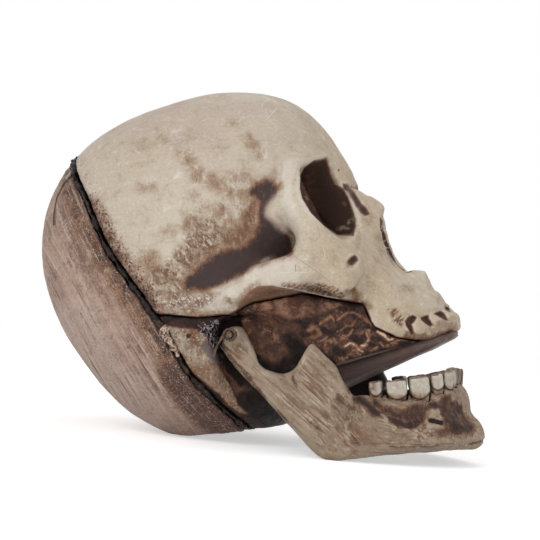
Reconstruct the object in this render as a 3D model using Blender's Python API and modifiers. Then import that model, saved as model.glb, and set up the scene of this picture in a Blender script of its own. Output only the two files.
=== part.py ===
"""Articulated jaw skull, life size: a hollow moulded skull in three shells, with a hinged jaw.

The skull faces +X and its left side is +Y. It lies as a skull does on a table: on the rear edge
of its flat cut base and on the two angles of its open jaw. Z is up from that table.
"""

import math

import bmesh
import bpy
from mathutils import Matrix, Vector

# Driving sizes of the whole skull, in metres. Shares are in thousandths: x, z, radii, breadth
# and wall of skull_length, y of skull_breadth. Tables list the right side, at negative y.
skull_length = 0.200
breadth_share = 665
skull_breadth = skull_length * breadth_share / 1000
wall_share = 16
shell_wall = skull_length * wall_share / 1000
clearance = 0.0003
overrun = 0.012

# Clay: how finely the moulded forms are worked, and how far they are thinned out again.
skull_grain_share = 12
jaw_grain_share = 8
cutter_grain_share = 11
core_grain_share = 25
skull_keep_share = 0.10
jaw_keep_share = 0.08
core_keep_share = 0.22

# Braincase: radii around its centre in the middle plane, every 20 degrees from the front.
case_centre_shares = (-195, 0, 426)
case_radius_shares = (
    344, 393, 407, 404, 364, 327, 316, 318, 322,
    326, 327, 337, 360, 408, 448, 470, 420, 360,
)
front_squareness = 2.1
rear_squareness = 2.6

# Seam between the rear shell and the rest, and the edge between face and base, in the side view.
seam_shares = (
    (-725, 880), (-444, 595), (-359, 509), (-290, 405), (-227, 336),
    (-149, 245), (-96, 154), (-57, 113), (-14, 68), (33, 12), (69, -41),
)
rim_shares = (
    (-700, 270), (-190, 275), (-80, 277), (-11, 290), (28, 320), (117, 349),
    (213, 340), (254, 339), (279, 291), (329, 272), (419, 267), (519, 275),
)
seam_width = 0.0030
seam_proud = 0.0007

# Flat cut base, sloping up towards the front, and the flat under the palate.
base_pitch = math.radians(11.8)
base_edge_shares = (-144, 0, 0)
palate_rest_shares = ((151, 176), (528, 332))
palate_lump_shares = (
    (163, -128, 151, 22), (163, 128, 151, 22), (163, -128, 189, 22), (163, 128, 189, 22),
    (241, -130, 193, 18), (241, 130, 193, 18), (241, -130, 222, 18), (241, 130, 222, 18),
    (329, -126, 241, 14), (329, 126, 241, 14), (329, -126, 256, 14), (329, 126, 256, 14),
    (399, -80, 280, 10), (399, 80, 280, 10), (410, 0, 284, 9),
)

# Solid lumps of the face, each the hull of balls (x, y, z, radius).
face_lump_shares = (
    # brow over the nose, and out over the orbit
    ((142, 0, 617, 30), (116, -105, 618, 30), (101, -60, 647, 34)),
    ((116, -105, 618, 30), (93, -215, 641, 26), (73, -335, 615, 26)),
    # outer rim of the orbit, down to the cheek
    ((73, -335, 615, 26), (83, -378, 553, 25), (144, -372, 474, 34)),
    # cheekbone
    ((144, -372, 474, 34), (140, -405, 418, 36), (221, -330, 412, 40), (215, -365, 368, 24)),
    ((221, -330, 412, 38), (206, -235, 459, 28), (144, -372, 474, 28)),
    # lower rim of the orbit, and the upper jaw's side up to the nose
    ((206, -235, 459, 28), (208, -130, 476, 24), (222, -92, 452, 22), (235, -200, 418, 32)),
    ((208, -130, 476, 24), (182, -108, 526, 20), (229, -58, 499, 14), (237, -58, 455, 15)),
    ((182, -108, 526, 20), (214, -34, 546, 13), (229, -58, 499, 14), (140, -100, 596, 22)),
    # nasal bones
    ((150, 0, 599, 18), (235, 0, 552, 13), (214, -34, 546, 13), (142, -75, 597, 20)),
    # arch from cheek to ear
    ((141, -408, 410, 38), (56, -440, 382, 32), (117, -425, 377, 28)),
    ((56, -440, 382, 32), (-32, -445, 344, 27), (18, -442, 340, 24)),
    ((-32, -445, 344, 27), (-131, -445, 310, 28), (-61, -440, 307, 22)),
    # upper jaw
    ((237, -58, 455, 15), (272, -63, 418, 17), (235, -210, 421, 34), (316, -180, 340, 36)),
    ((272, -63, 418, 17), (336, -40, 390, 22), (316, -180, 340, 36), (388, -72, 323, 38)),
    ((340, 0, 411, 14), (336, -40, 390, 22), (390, -68, 323, 38), (398, 0, 326, 42)),
    ((340, 0, 411, 14), (296, 0, 403, 20), (272, -63, 418, 15), (336, -40, 390, 22)),
    ((390, -72, 312, 38), (396, 0, 318, 42), (338, -168, 288, 38), (318, 0, 333, 60)),
    ((338, -168, 290, 38), (315, -180, 350, 38), (254, -225, 294, 34), (231, -215, 402, 38)),
    # side of the skull's floor, over the palate
    ((175, -235, 216, 40), (299, -205, 256, 28), (388, -90, 292, 22), (61, -225, 240, 50)),
    ((175, -235, 216, 40), (61, -225, 240, 50), (158, -200, 332, 60), (278, -180, 335, 40)),
    ((175, -235, 216, 40), (299, -205, 256, 28), (150, 0, 234, 60), (388, 0, 298, 26)),
    # middle of the face and floor of the skull, behind the upper jaw
    ((186, -90, 387, 80), (58, -120, 334, 120), (258, -80, 339, 60)),
    ((141, -60, 568, 50), (102, -120, 525, 100), (96, -130, 404, 110), (183, -60, 488, 60)),
)

# Hollows cut into the clay, listed the same way.
carving_lump_shares = (
    # orbit: a rounded square mouth that narrows back and inwards
    ((108, -290, 597, 34), (130, -165, 609, 30), (182, -150, 524, 30), (173, -275, 499, 34),
     (13, -120, 483, 26)),
    ((108, -290, 597, 34), (130, -165, 609, 30), (182, -150, 524, 30), (173, -275, 499, 34),
     (174, -380, 634, 38), (199, -215, 662, 30), (267, -200, 563, 30), (242, -345, 527, 38)),
    # nose: a pear-shaped mouth
    ((232, 0, 532, 10), (252, -28, 481, 14), (279, -36, 439, 15), (184, -16, 460, 20)),
    ((254, 0, 532, 12), (279, -36, 441, 15), (329, -36, 461, 18), (293, 0, 522, 20),
     (252, -28, 481, 14)),
    # temple, behind the orbit and over the arch
    ((21, -482, 568, 54), (55, -470, 483, 52), (54, -465, 449, 36)),
    ((55, -470, 483, 48), (54, -465, 447, 34), (-15, -492, 419, 30), (-26, -500, 446, 30)),
    ((-15, -492, 419, 30), (-26, -500, 446, 30), (-143, -512, 369, 20)),
    # hollow for the hinge, the jaw's upright and its muscle, under the arch
    ((-14, -352, 249, 40), (-13, -640, 236, 40), (44, -380, 124, 70), (45, -640, 113, 70),
     (132, -360, 196, 60), (132, -640, 183, 60), (109, -345, 280, 38), (110, -600, 269, 38)),
    ((44, -380, 124, 70), (45, -640, 113, 70), (206, -400, 37, 110), (207, -640, 26, 110),
     (242, -385, 196, 70), (242, -600, 187, 70)),
    ((150, -370, 260, 40), (150, -600, 250, 40), (235, -350, 267, 40), (235, -600, 256, 40),
     (243, -385, 156, 60), (243, -600, 147, 60)),
)

# Space inside the shells: the braincase and a pocket in the face.
core_lump_shares = (
    ((-65, -90, 424, 110), (38, -70, 336, 90), (177, -60, 354, 60)),
    ((177, -60, 354, 60), (288, -40, 329, 36)),
)

# Jaw: hulls of balls for the upright, and two rows of balls that its body is stretched between.
ramus_lump_shares = (
    ((-5, -345, 251, 21), (-4, -405, 248, 21), (-21, -375, 221, 17)),
    ((-5, -345, 251, 20), (-21, -375, 221, 17), (26, -368, 176, 20), (34, -372, 202, 17)),
    ((26, -368, 176, 20), (86, -360, 128, 21), (70, -364, 164, 17), (105, -360, 156, 17)),
    ((86, -360, 128, 21), (206, -345, 27, 26), (249, -330, 130, 20), (138, -356, 170, 17),
     (105, -360, 156, 17), (212, -350, 182, 17)),
    ((138, -356, 170, 17), (163, -358, 240, 12), (186, -354, 217, 15), (213, -350, 191, 17)),
)
border_shares = (
    (212, -342, 26, 28), (237, -332, 23, 27), (306, -300, 37, 25), (380, -248, 49, 25),
    (444, -168, 59, 26), (480, -86, 64, 27), (495, -20, 64, 29), (495, 0, 64, 29),
)
crest_shares = (
    (236, -325, 117, 21), (289, -222, 117, 30), (344, -203, 121, 31), (390, -178, 129, 30),
    (419, -144, 143, 29), (433, -104, 152, 28), (437, -63, 157, 27), (438, -20, 160, 26),
    (438, 0, 161, 26),
)

# Hollow across the jaw's front, between the chin and the teeth.
chin_hollow_lump_shares = (
    ((513, -50, 136, 37), (513, 50, 136, 37)),
    ((513, -50, 136, 37), (488, -135, 128, 32)),
)

# Lower teeth, from the back: centre (x, y), direction along the row in degrees, then width,
# depth and height above the gum, and the gum's height, all in shares.
tooth_names = (
    "rear_molar", "middle_molar", "front_molar", "premolar", "canine", "outer_incisor",
    "inner_incisor",
)
tooth_shares = (
    (296, -212, 141, 4, 29, 36, 33), (342, -204, 143, 8, 45, 38, 38),
    (388, -182, 150, 20, 42, 38, 43), (418, -146, 162, 38, 27, 34, 40),
    (433, -106, 169, 56, 24, 31, 39), (438, -64, 173, 76, 24, 28, 37),
    (436, -22, 175, 86, 24, 27, 37),
)
tooth_root = 0.0030
tooth_round = 0.0011
crown_taper_share = 0.86
tooth_tip = 11.2

# Hinge: a steel pin through each condyle, and a wire tied round its outer end, with a short tail.
hinge_shares = (-4, 0, 249)
pin_diameter = 0.0030
pin_inner_share = -268
pin_outer_share = -468
pin_end_round = 0.0004
wire_diameter = 0.0011
wire_pitch = 0.0017
wire_turns = 2.25
wire_points = 24
wire_start_share = -434
wire_tail_shares = ((-27, -452, 229), (-34, -450, 211), (-36, -446, 196))


# Finishes: colour, roughness and how metallic, for each kind of piece.
finishes = {
    "bone": ((0.56, 0.47, 0.35), 0.55, 0),
    "rear": ((0.37, 0.26, 0.20), 0.6, 0),
    "dark": ((0.07, 0.045, 0.04), 0.6, 0),
    "palate": ((0.09, 0.065, 0.065), 0.45, 0),
    "jaw": ((0.45, 0.36, 0.26), 0.55, 0),
    "tooth": ((0.70, 0.63, 0.48), 0.4, 0),
    "glue": ((0.02, 0.018, 0.017), 0.4, 0),
    "steel": ((0.42, 0.41, 0.40), 0.35, 1),
}
crease_angle = math.radians(38)


def spot(share):
    """The point that three shares stand for."""
    x, y, z = share
    return Vector((x * skull_length, y * skull_breadth, z * skull_length)) / 1000


def length_of(share):
    return share * skull_length / 1000


def mirrored(lumps):
    """The lumps and their copies on the left side."""
    other = [tuple((x, -y, z, r) for x, y, z, r in lump) for lump in lumps]
    return list(lumps) + other


def add_hull(bm, lump, detail=2):
    """Adds the hull of a lump's balls to bm."""
    hull = bmesh.new()
    for x, y, z, r in lump:
        place = Matrix.Translation(spot((x, y, z)))
        bmesh.ops.create_icosphere(hull, subdivisions=detail, radius=length_of(r), matrix=place)
    bmesh.ops.delete(hull, geom=hull.edges[:] + hull.faces[:], context="EDGES_FACES")
    bmesh.ops.convex_hull(hull, input=hull.verts)
    inside = [vert for vert in hull.verts if not vert.link_faces]
    bmesh.ops.delete(hull, geom=inside, context="VERTS")
    add_to(bm, hull)


def add_to(bm, other):
    """Adds the mesh in other to bm, and frees other."""
    bmesh.ops.recalc_face_normals(other, faces=other.faces)
    mesh = bpy.data.meshes.new("scrap")
    other.to_mesh(mesh)
    other.free()
    bm.from_mesh(mesh)
    bpy.data.meshes.remove(mesh)


def new_collection(name, hidden=False):
    found = bpy.data.collections.new(name)
    bpy.context.scene.collection.children.link(found)
    found.hide_render = hidden
    return found


def new_object(name, bm, collection):
    """An object of the mesh in bm, which is freed."""
    mesh = bpy.data.meshes.new(name)
    bm.to_mesh(mesh)
    bm.free()
    obj = bpy.data.objects.new(name, mesh)
    collection.objects.link(obj)
    if collection.hide_render:
        obj.hide_render = True
        obj.display_type = "WIRE"
    return obj


def settle(obj):
    """Makes the object's modifiers part of its mesh."""
    graph = bpy.context.evaluated_depsgraph_get()
    mesh = bpy.data.meshes.new_from_object(obj.evaluated_get(graph))
    obj.modifiers.clear()
    old = obj.data
    obj.data = mesh
    bpy.data.meshes.remove(old)


def fuse(obj, grain_share, passes):
    """Works the overlapping lumps of obj into one smooth skin."""
    remesh = obj.modifiers.new("fuse", "REMESH")
    remesh.mode = "VOXEL"
    remesh.voxel_size = length_of(grain_share)
    smooth = obj.modifiers.new("smooth", "SMOOTH")
    smooth.factor = 0.5
    smooth.iterations = passes
    settle(obj)


def thin(obj, keep_share):
    """Keeps this share of the faces of obj."""
    decimate = obj.modifiers.new("thin", "DECIMATE")
    decimate.ratio = keep_share
    settle(obj)


def combine(obj, cutter, operation):
    boolean = obj.modifiers.new(cutter.name, "BOOLEAN")
    boolean.operation = operation
    boolean.object = cutter


def smooth_curve(values, position):
    """The value at a place along a closed ring of values, on a smooth curve through them."""
    count = len(values)
    first = math.floor(position)
    t = position - first
    a, b, c, d = (values[(first + step) % count] for step in (-1, 0, 1, 2))
    bend = 2 * a - 5 * b + 4 * c - d + t * (3 * (b - c) + d - a)
    return b + 0.5 * t * (c - a + t * bend)


def braincase(bm, inset=0):
    """A sphere with its poles at the sides, drawn out to the braincase's radii."""
    case = bmesh.new()
    turn = Matrix.Rotation(math.radians(90), 3, "X")
    bmesh.ops.create_uvsphere(case, u_segments=60, v_segments=30, radius=1)
    centre = spot(case_centre_shares)
    half_breadth = skull_breadth / 2 - inset
    for vert in case.verts:
        x, y, z = turn @ vert.co
        out = math.hypot(x, z)
        angle = math.atan2(z, x) % math.tau
        radius = length_of(smooth_curve(case_radius_shares, angle / math.tau * 18)) - inset
        towards_rear = 0.5 - 0.5 * x
        power = 2 / (front_squareness + (rear_squareness - front_squareness) * towards_rear)
        reach = radius * out**power
        side = half_breadth * math.copysign(abs(y) ** power, y)
        way = Vector((math.cos(angle), 0, math.sin(angle)))
        vert.co = centre + reach * way + Vector((0, side, 0))
    add_to(bm, case)


def side_block(name, outline, collection):
    """A block through the skull from side to side, with this outline of (x, z) in the side view."""
    bm = bmesh.new()
    deep = skull_breadth / 2 + 5 * overrun
    near = [bm.verts.new((x, -deep, z)) for x, z in outline]
    face = bm.faces.new(near)
    grown = bmesh.ops.extrude_face_region(bm, geom=[face])
    far = [item for item in grown["geom"] if isinstance(item, bmesh.types.BMVert)]
    bmesh.ops.translate(bm, verts=far, vec=(0, 2 * deep, 0))
    bmesh.ops.recalc_face_normals(bm, faces=bm.faces)
    return new_object(name, bm, collection)


def tilted_block(name, point, pitch, collection):
    """A block whose top face lies in the plane through point that slopes up to the front."""
    bm = bmesh.new()
    bmesh.ops.create_cube(bm, size=2 * skull_length)
    down = Matrix.Translation((0, 0, -skull_length))
    turn = Matrix.Rotation(-pitch, 4, "Y")
    bmesh.ops.transform(bm, matrix=Matrix.Translation(point) @ turn @ down, verts=bm.verts)
    return new_object(name, bm, collection)


def line_of(shares):
    """The points (x, z) of an outline given in shares."""
    return [Vector((length_of(x), length_of(z))) for x, z in shares]


def shifted(line, distance):
    """The line moved sideways, to the left of its own direction."""
    moved = []
    for i, point in enumerate(line):
        way = line[min(i + 1, len(line) - 1)] - line[max(i - 1, 0)]
        way.normalize()
        moved.append(point + distance * Vector((-way.y, way.x)))
    return moved


def closed_towards(line, x=None, z=None):
    """The outline between the line and a far limit on one side of it, in x or in z."""
    ends = (line[-1], line[0])
    if x is not None:
        return line + [Vector((x, end.y)) for end in ends]
    return line + [Vector((end.x, z)) for end in ends]


def region_blocks(cutters):
    """The blocks that divide the skull into rear, face and base, and make room for the palate."""
    far = 2 * skull_length
    seam = line_of(seam_shares)
    rim = line_of(rim_shares)
    rest = line_of(palate_rest_shares)
    ahead = closed_towards(shifted(seam, seam_width / 2), x=far)
    behind = closed_towards(shifted(seam, -seam_width / 2), x=-far)
    inner = shifted(seam, seam_width / 2 - clearance)
    outer = shifted(seam, clearance - seam_width / 2)
    above = closed_towards(shifted(rim, clearance / 2), z=far)
    below = closed_towards(shifted(rim, -clearance / 2), z=-far)
    room = [rest[0] + Vector((clearance, -clearance)), rest[1] + Vector((0, -clearance))]
    return {
        "front": side_block("front_side", ahead, cutters),
        "rear": side_block("rear_side", behind, cutters),
        "seam": side_block("seam_slab", inner + outer[::-1], cutters),
        "above": side_block("above_rim", above, cutters),
        "below": side_block("below_rim", below, cutters),
        "palate": side_block("palate_rest", closed_towards(rest, z=-far), cutters),
        "plate": side_block("palate_room", closed_towards(room, z=-far), cutters),
    }


def clay_of(name, lumps, grain_share, passes, collection, grow=0, with_case=None):
    """One smooth form worked from lumps, each ball grown by a length, and perhaps the braincase."""
    bm = bmesh.new()
    extra = grow / skull_length * 1000
    for lump in lumps:
        add_hull(bm, [(x, y, z, r + extra) for x, y, z, r in lump])
    if with_case is not None:
        braincase(bm, with_case)
    obj = new_object(name, bm, collection)
    fuse(obj, grain_share, passes)
    return obj


def copy_of(obj, name, collection):
    twin = bpy.data.objects.new(name, obj.data.copy())
    collection.objects.link(twin)
    return twin


def skull_forms(cutters):
    """The solid form of the skull, and the form of the space inside its shells."""
    skull = clay_of("skull_clay", mirrored(face_lump_shares), skull_grain_share, 2, cutters, 0, 0)
    carving = clay_of("carving", mirrored(carving_lump_shares), cutter_grain_share, 2, cutters)
    combine(skull, carving, "DIFFERENCE")
    settle(skull)
    fuse(skull, skull_grain_share, 3)
    thin(skull, skull_keep_share)
    core = clay_of("core", mirrored(core_lump_shares), core_grain_share, 2, cutters, 0, shell_wall)
    guard = clay_of(
        "guard", mirrored(carving_lump_shares), core_grain_share, 1, cutters, shell_wall + clearance
    )
    base_guard = tilted_block(
        "base_guard", spot(base_edge_shares) + Vector((0, 0, shell_wall)), base_pitch, cutters
    )
    combine(core, guard, "DIFFERENCE")
    settle(core)
    fuse(core, core_grain_share, 2)
    thin(core, core_keep_share)
    combine(core, base_guard, "DIFFERENCE")
    settle(core)
    return skull, core, carving


def cut_piece(clay, name, parts, cuts):
    """A copy of the clay with each (cutter, operation) applied."""
    piece = copy_of(clay, name, parts)
    for cutter, operation in cuts:
        combine(piece, cutter, operation)
    return piece


def skull_shells(parts, cutters, blocks, bores, table):
    """The face, rear and base shells, the bead between them and the palate, with their finishes."""
    skull, core, carving = skull_forms(cutters)
    base_plane = tilted_block("base_plane", spot(base_edge_shares), base_pitch, cutters)
    face = cut_piece(skull, "face_shell", parts, (
        (blocks["front"], "INTERSECT"), (blocks["above"], "INTERSECT"), (core, "DIFFERENCE"),
        (blocks["palate"], "DIFFERENCE"),
    ))
    rear = cut_piece(skull, "rear_shell", parts, (
        (blocks["rear"], "INTERSECT"), (core, "DIFFERENCE"), (base_plane, "DIFFERENCE"),
        (table, "DIFFERENCE"),
    ))
    base = cut_piece(skull, "base_shell", parts, (
        (blocks["front"], "INTERSECT"), (blocks["below"], "INTERSECT"), (core, "DIFFERENCE"),
        (base_plane, "DIFFERENCE"), (blocks["palate"], "DIFFERENCE"), (bores, "DIFFERENCE"),
    ))
    bm = bmesh.new()
    braincase(bm, -seam_proud)
    swollen = new_object("swollen_case", bm, cutters)
    bead = cut_piece(swollen, "seam_bead", parts, (
        (blocks["seam"], "INTERSECT"), (core, "DIFFERENCE"), (base_plane, "DIFFERENCE"),
        (carving, "DIFFERENCE"),
    ))
    bm = bmesh.new()
    add_hull(bm, palate_lump_shares)
    plate = new_object("palate_plate", bm, parts)
    combine(plate, blocks["plate"], "INTERSECT")
    return (face, "bone"), (rear, "rear"), (base, "dark"), (bead, "glue"), (plate, "palate")


def along_y(name, start, end, radius, centre, collection, segments=24):
    """A round bar from side to side, at centre in the side view."""
    bm = bmesh.new()
    middle = Vector((centre.x, (start + end) / 2, centre.z))
    place = Matrix.Translation(middle) @ Matrix.Rotation(math.radians(90), 4, "X")
    bmesh.ops.create_cone(
        bm, cap_ends=True, segments=segments, radius1=radius, radius2=radius,
        depth=abs(end - start), matrix=place,
    )
    return new_object(name, bm, collection)


def wide(share):
    return share * skull_breadth / 1000


def pin_bores(cutters):
    """One bar through both condyles, with the pins' clearance."""
    hinge = spot(hinge_shares)
    radius = pin_diameter / 2 + clearance
    bars = [
        along_y("bore", side * (abs(wide(pin_inner_share)) - clearance), side * skull_breadth,
                radius, hinge, cutters)
        for side in (-1, 1)
    ]
    bm = bmesh.new()
    for bar in bars:
        bm.from_mesh(bar.data)
        bpy.data.objects.remove(bar)
    return new_object("pin_bores", bm, cutters)


def crown(bm, shares, side, grow=0):
    """A tooth: a block that narrows from its biting edge down to its root, with rounded edges."""
    x, y, z, heading, width, depth, height = shares
    foot = spot((x, side * y, z))
    size = Vector((length_of(width) + 2 * grow, length_of(depth) + 2 * grow))
    root = tooth_root + grow
    tall = length_of(height) + root
    one = bmesh.new()
    bmesh.ops.create_cube(one, size=1)
    for vert in one.verts:
        narrow = 1 if vert.co.z > 0 else crown_taper_share
        vert.co = Vector((vert.co.x * size.x * narrow, vert.co.y * size.y * narrow,
                          (vert.co.z + 0.5) * tall - root))
    edges = [e for e in one.edges]
    bmesh.ops.bevel(one, geom=edges, offset=tooth_round, segments=2, profile=0.6,
                    affect="EDGES", clamp_overlap=True)
    turn = Matrix.Rotation(math.radians(side * heading), 4, "Z")
    tip = Matrix.Rotation(math.radians(-tooth_tip), 4, "Y")
    bmesh.ops.transform(one, matrix=Matrix.Translation(foot) @ turn @ tip, verts=one.verts)
    add_to(bm, one)


def lower_teeth(parts):
    teeth = []
    for side, side_name in ((1, "right"), (-1, "left")):
        for name, shares in zip(tooth_names, tooth_shares):
            bm = bmesh.new()
            crown(bm, shares, side)
            teeth.append(new_object(f"{name}_{side_name}", bm, parts))
    return teeth


def sockets(cutters):
    bm = bmesh.new()
    for side in (1, -1):
        for shares in tooth_shares:
            crown(bm, shares, side, clearance)
    return new_object("sockets", bm, cutters)


def body_lumps():
    """Hulls that stretch the jaw's body between its lower border and its crest."""
    lumps = []
    last = len(border_shares) - 1
    ahead = len(crest_shares) - len(border_shares)
    for i in range(last):
        lumps.append((border_shares[i], border_shares[i + 1],
                      crest_shares[i + ahead], crest_shares[i + 1 + ahead]))
    lumps.append((border_shares[0], border_shares[1], crest_shares[0], crest_shares[1]))
    return lumps


def jaw(parts, cutters, pins, table):
    lumps = mirrored(ramus_lump_shares + tuple(body_lumps()))
    mandible = clay_of("mandible", lumps, jaw_grain_share, 2, parts)
    hollow = clay_of("chin_hollow", mirrored(chin_hollow_lump_shares), jaw_grain_share, 1, cutters)
    combine(mandible, hollow, "DIFFERENCE")
    settle(mandible)
    fuse(mandible, jaw_grain_share, 2)
    thin(mandible, jaw_keep_share)
    for cutter in (pins, sockets(cutters), table):
        combine(mandible, cutter, "DIFFERENCE")
    return mandible


def hinge_pins(parts):
    hinge = spot(hinge_shares)
    pins = []
    for side, side_name in ((1, "right"), (-1, "left")):
        pin = along_y(f"hinge_pin_{side_name}", side * wide(pin_inner_share),
                      side * wide(pin_outer_share), pin_diameter / 2, hinge, parts, 16)
        rounding = pin.modifiers.new("round_ends", "BEVEL")
        rounding.width = pin_end_round
        rounding.segments = 2
        pins.append(pin)
    return pins


def tie_path(side):
    """The wire's centre line: a coil round the pin, then its hanging tail."""
    hinge = spot(hinge_shares)
    radius = (pin_diameter + wire_diameter) / 2 + clearance
    path = []
    for step in range(int(wire_turns * wire_points) + 1):
        turns = step / wire_points
        angle = math.tau * (turns - wire_turns % 1 + 0.5)
        out = side * (wide(wire_start_share) - turns * wire_pitch)
        path.append(Vector((hinge.x + radius * math.cos(angle), out,
                            hinge.z + radius * math.sin(angle))))
    for x, y, z in wire_tail_shares:
        path.append(spot((x, side * y, z)))
    return path


def least_gap(path):
    """The least space between stretches of the wire that lie half a turn or more apart."""
    gaps = []
    for i, point in enumerate(path):
        for other in path[i + wire_points // 2:]:
            gaps.append((point - other).length - wire_diameter)
    return min(gaps)


def wire_along(name, path, parts, cutters):
    """A round wire along the path: the mesh of a hidden guide curve."""
    curve = bpy.data.curves.new(name, "CURVE")
    curve.dimensions = "3D"
    curve.bevel_depth = wire_diameter / 2
    curve.bevel_resolution = 1
    curve.use_fill_caps = True
    line = curve.splines.new("POLY")
    line.points.add(len(path) - 1)
    for point, place in zip(line.points, path):
        point.co = (*place, 1)
    guide = bpy.data.objects.new(name + "_guide", curve)
    cutters.objects.link(guide)
    guide.hide_render = True
    graph = bpy.context.evaluated_depsgraph_get()
    wire = bpy.data.meshes.new_from_object(guide.evaluated_get(graph))
    bm = bmesh.new()
    bm.from_mesh(wire)
    bpy.data.meshes.remove(wire)
    bmesh.ops.remove_doubles(bm, verts=bm.verts, dist=clearance / 100)
    bmesh.ops.recalc_face_normals(bm, faces=bm.faces)
    return new_object(name, bm, parts)


def hinge_ties(parts, cutters):
    ties = []
    for side, side_name in ((1, "right"), (-1, "left")):
        path = tie_path(side)
        print(f"hinge_tie_{side_name}: least gap to itself {1000 * least_gap(path):.2f} mm")
        ties.append(wire_along(f"hinge_tie_{side_name}", path, parts, cutters))
    return ties


def finish(obj, kind):
    """Settles the object's shape, shades it smooth but for its creases, and gives it its material."""
    name = obj.name
    settle(obj)
    obj.data.name = name
    obj.data.shade_smooth()
    obj.data.set_sharp_from_angle(angle=crease_angle)
    colour, roughness, metallic = finishes[kind]
    material = bpy.data.materials.new(name)
    material.use_nodes = True
    shader = material.node_tree.nodes["Principled BSDF"]
    shader.inputs["Base Color"].default_value = (*colour, 1)
    shader.inputs["Roughness"].default_value = roughness
    shader.inputs["Metallic"].default_value = metallic
    obj.data.materials.clear()
    obj.data.materials.append(material)


def hang_jaw(parts, pieces):
    """Hangs the jaw's pieces on an empty at the hinge, whose Y is the axis they turn about."""
    hinge = bpy.data.objects.new("jaw_hinge", None)
    hinge.location = spot(hinge_shares)
    hinge.empty_display_size = pin_diameter
    parts.objects.link(hinge)
    bpy.context.view_layer.update()
    for piece in pieces:
        piece.parent = hinge
        piece.matrix_parent_inverse = hinge.matrix_world.inverted()


def main():
    for obj in list(bpy.data.objects):
        bpy.data.objects.remove(obj)
    parts = new_collection("jaw_skull")
    cutters = new_collection("cutters", hidden=True)
    blocks = region_blocks(cutters)
    bores = pin_bores(cutters)
    table = tilted_block("table", Vector((0, 0, 0)), 0, cutters)
    kinds = skull_shells(parts, cutters, blocks, bores, table)
    mandible = jaw(parts, cutters, bores, table)
    teeth = lower_teeth(parts)
    steel = hinge_pins(parts) + hinge_ties(parts, cutters)
    for obj, kind in kinds:
        finish(obj, kind)
    finish(mandible, "jaw")
    for tooth in teeth:
        finish(tooth, "tooth")
    for piece in steel:
        finish(piece, "steel")
    hang_jaw(parts, [mandible] + teeth)


main()
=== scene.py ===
"""Looks of the articulated jaw skull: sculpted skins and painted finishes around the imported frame."""

import math
import random

import bmesh
import bpy
import numpy as np
from mathutils import Matrix, Vector, noise
from mathutils.bvhtree import BVHTree


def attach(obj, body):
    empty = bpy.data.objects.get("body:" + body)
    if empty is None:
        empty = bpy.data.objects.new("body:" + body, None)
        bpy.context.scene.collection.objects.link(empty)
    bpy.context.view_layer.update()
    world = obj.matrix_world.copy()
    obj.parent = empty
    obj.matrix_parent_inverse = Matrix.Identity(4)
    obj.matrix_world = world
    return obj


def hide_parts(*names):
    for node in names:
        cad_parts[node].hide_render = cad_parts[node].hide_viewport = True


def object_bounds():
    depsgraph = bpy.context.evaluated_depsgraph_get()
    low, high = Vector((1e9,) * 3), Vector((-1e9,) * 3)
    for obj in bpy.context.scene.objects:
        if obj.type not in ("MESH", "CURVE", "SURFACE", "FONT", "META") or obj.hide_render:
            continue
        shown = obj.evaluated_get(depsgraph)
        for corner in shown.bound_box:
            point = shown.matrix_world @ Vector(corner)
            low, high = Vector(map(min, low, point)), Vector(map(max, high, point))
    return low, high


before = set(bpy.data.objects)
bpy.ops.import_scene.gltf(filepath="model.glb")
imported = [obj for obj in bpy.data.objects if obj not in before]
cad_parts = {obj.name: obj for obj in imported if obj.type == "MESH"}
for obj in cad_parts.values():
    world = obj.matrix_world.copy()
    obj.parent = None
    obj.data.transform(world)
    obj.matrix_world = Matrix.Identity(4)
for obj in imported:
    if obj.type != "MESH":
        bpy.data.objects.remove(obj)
cad_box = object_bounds()

# Camera: the photograph's viewing angle, in degrees and metres, and its frame in pixels.
view_azimuth = math.radians(14)
view_elevation = math.radians(1.0)
view_roll = math.radians(5.38)
view_distance = 1.0
view_aim = Vector((-0.0008, 0, 0.0780))
photo_side = 540
focal_pixels = 2200
sensor_width = 36.0
millimetre = 0.001

# Studio: a round floor that is mostly white to the camera, an even sky and soft lamps, in metres
# and watts.
floor_radius = 0.75
floor_sides = 96
floor_grey = (0.9, 0.9, 0.9, 1)
floor_white = 0.5
sky_light = 0.48
lamps = (
    ("key", (-0.35, -1.25, 0.75), 0.8, 7.5),
    ("fill", (0.8, -1.0, 0.25), 0.9, 3.0),
    ("top", (0.1, 0.3, 1.2), 0.9, 2.0),
)

# Paint: gloss, the range of noise, how far one tone overlaps the next, and how lines waver.
matt_gloss = 0.2
base_gloss = 0.1
rusty_metal = 0.5
noise_range = (0.34, 0.66)
tone_overlap = 1.8
waver_size = 0.003
waver_share = 0.08

# Skins: fine, smoothed copies of the moulded CAD nodes. Their grain is in metres.
face_grain = 0.00128
skin_grain = 0.0011
jaw_grain = 0.0008
tooth_grain = 0.00035
skin_passes = 5
tooth_kinds = ("molar", "canine", "incisor")
crease_angle = math.radians(50)
weld_distance = 0.00001
round_levels = 2
smooth_factor = 0.5
split_smoothness = 0.3
crown_passes = 3

# Masks: where a surface starts and ends to face the camera or the middle plane, how hollows are
# found, and the noise that gives lumps and makes edges waver, in metres.
facing_edge = (-0.05, 0.25)
inward_edge = (0.15, 0.45)
mask_limit = 1.3
hollow_pull = 0.6
hollow_passes = 12
fine_hollow_passes = 8
lump_falloff = 0.8
lump_ratio = 2.1
lump_octaves = 4
stain_lumps = (0.007, 0.009)
patch_lumps = (0.004, 0.005)
line_reach = 8
grain_span = 120

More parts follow.
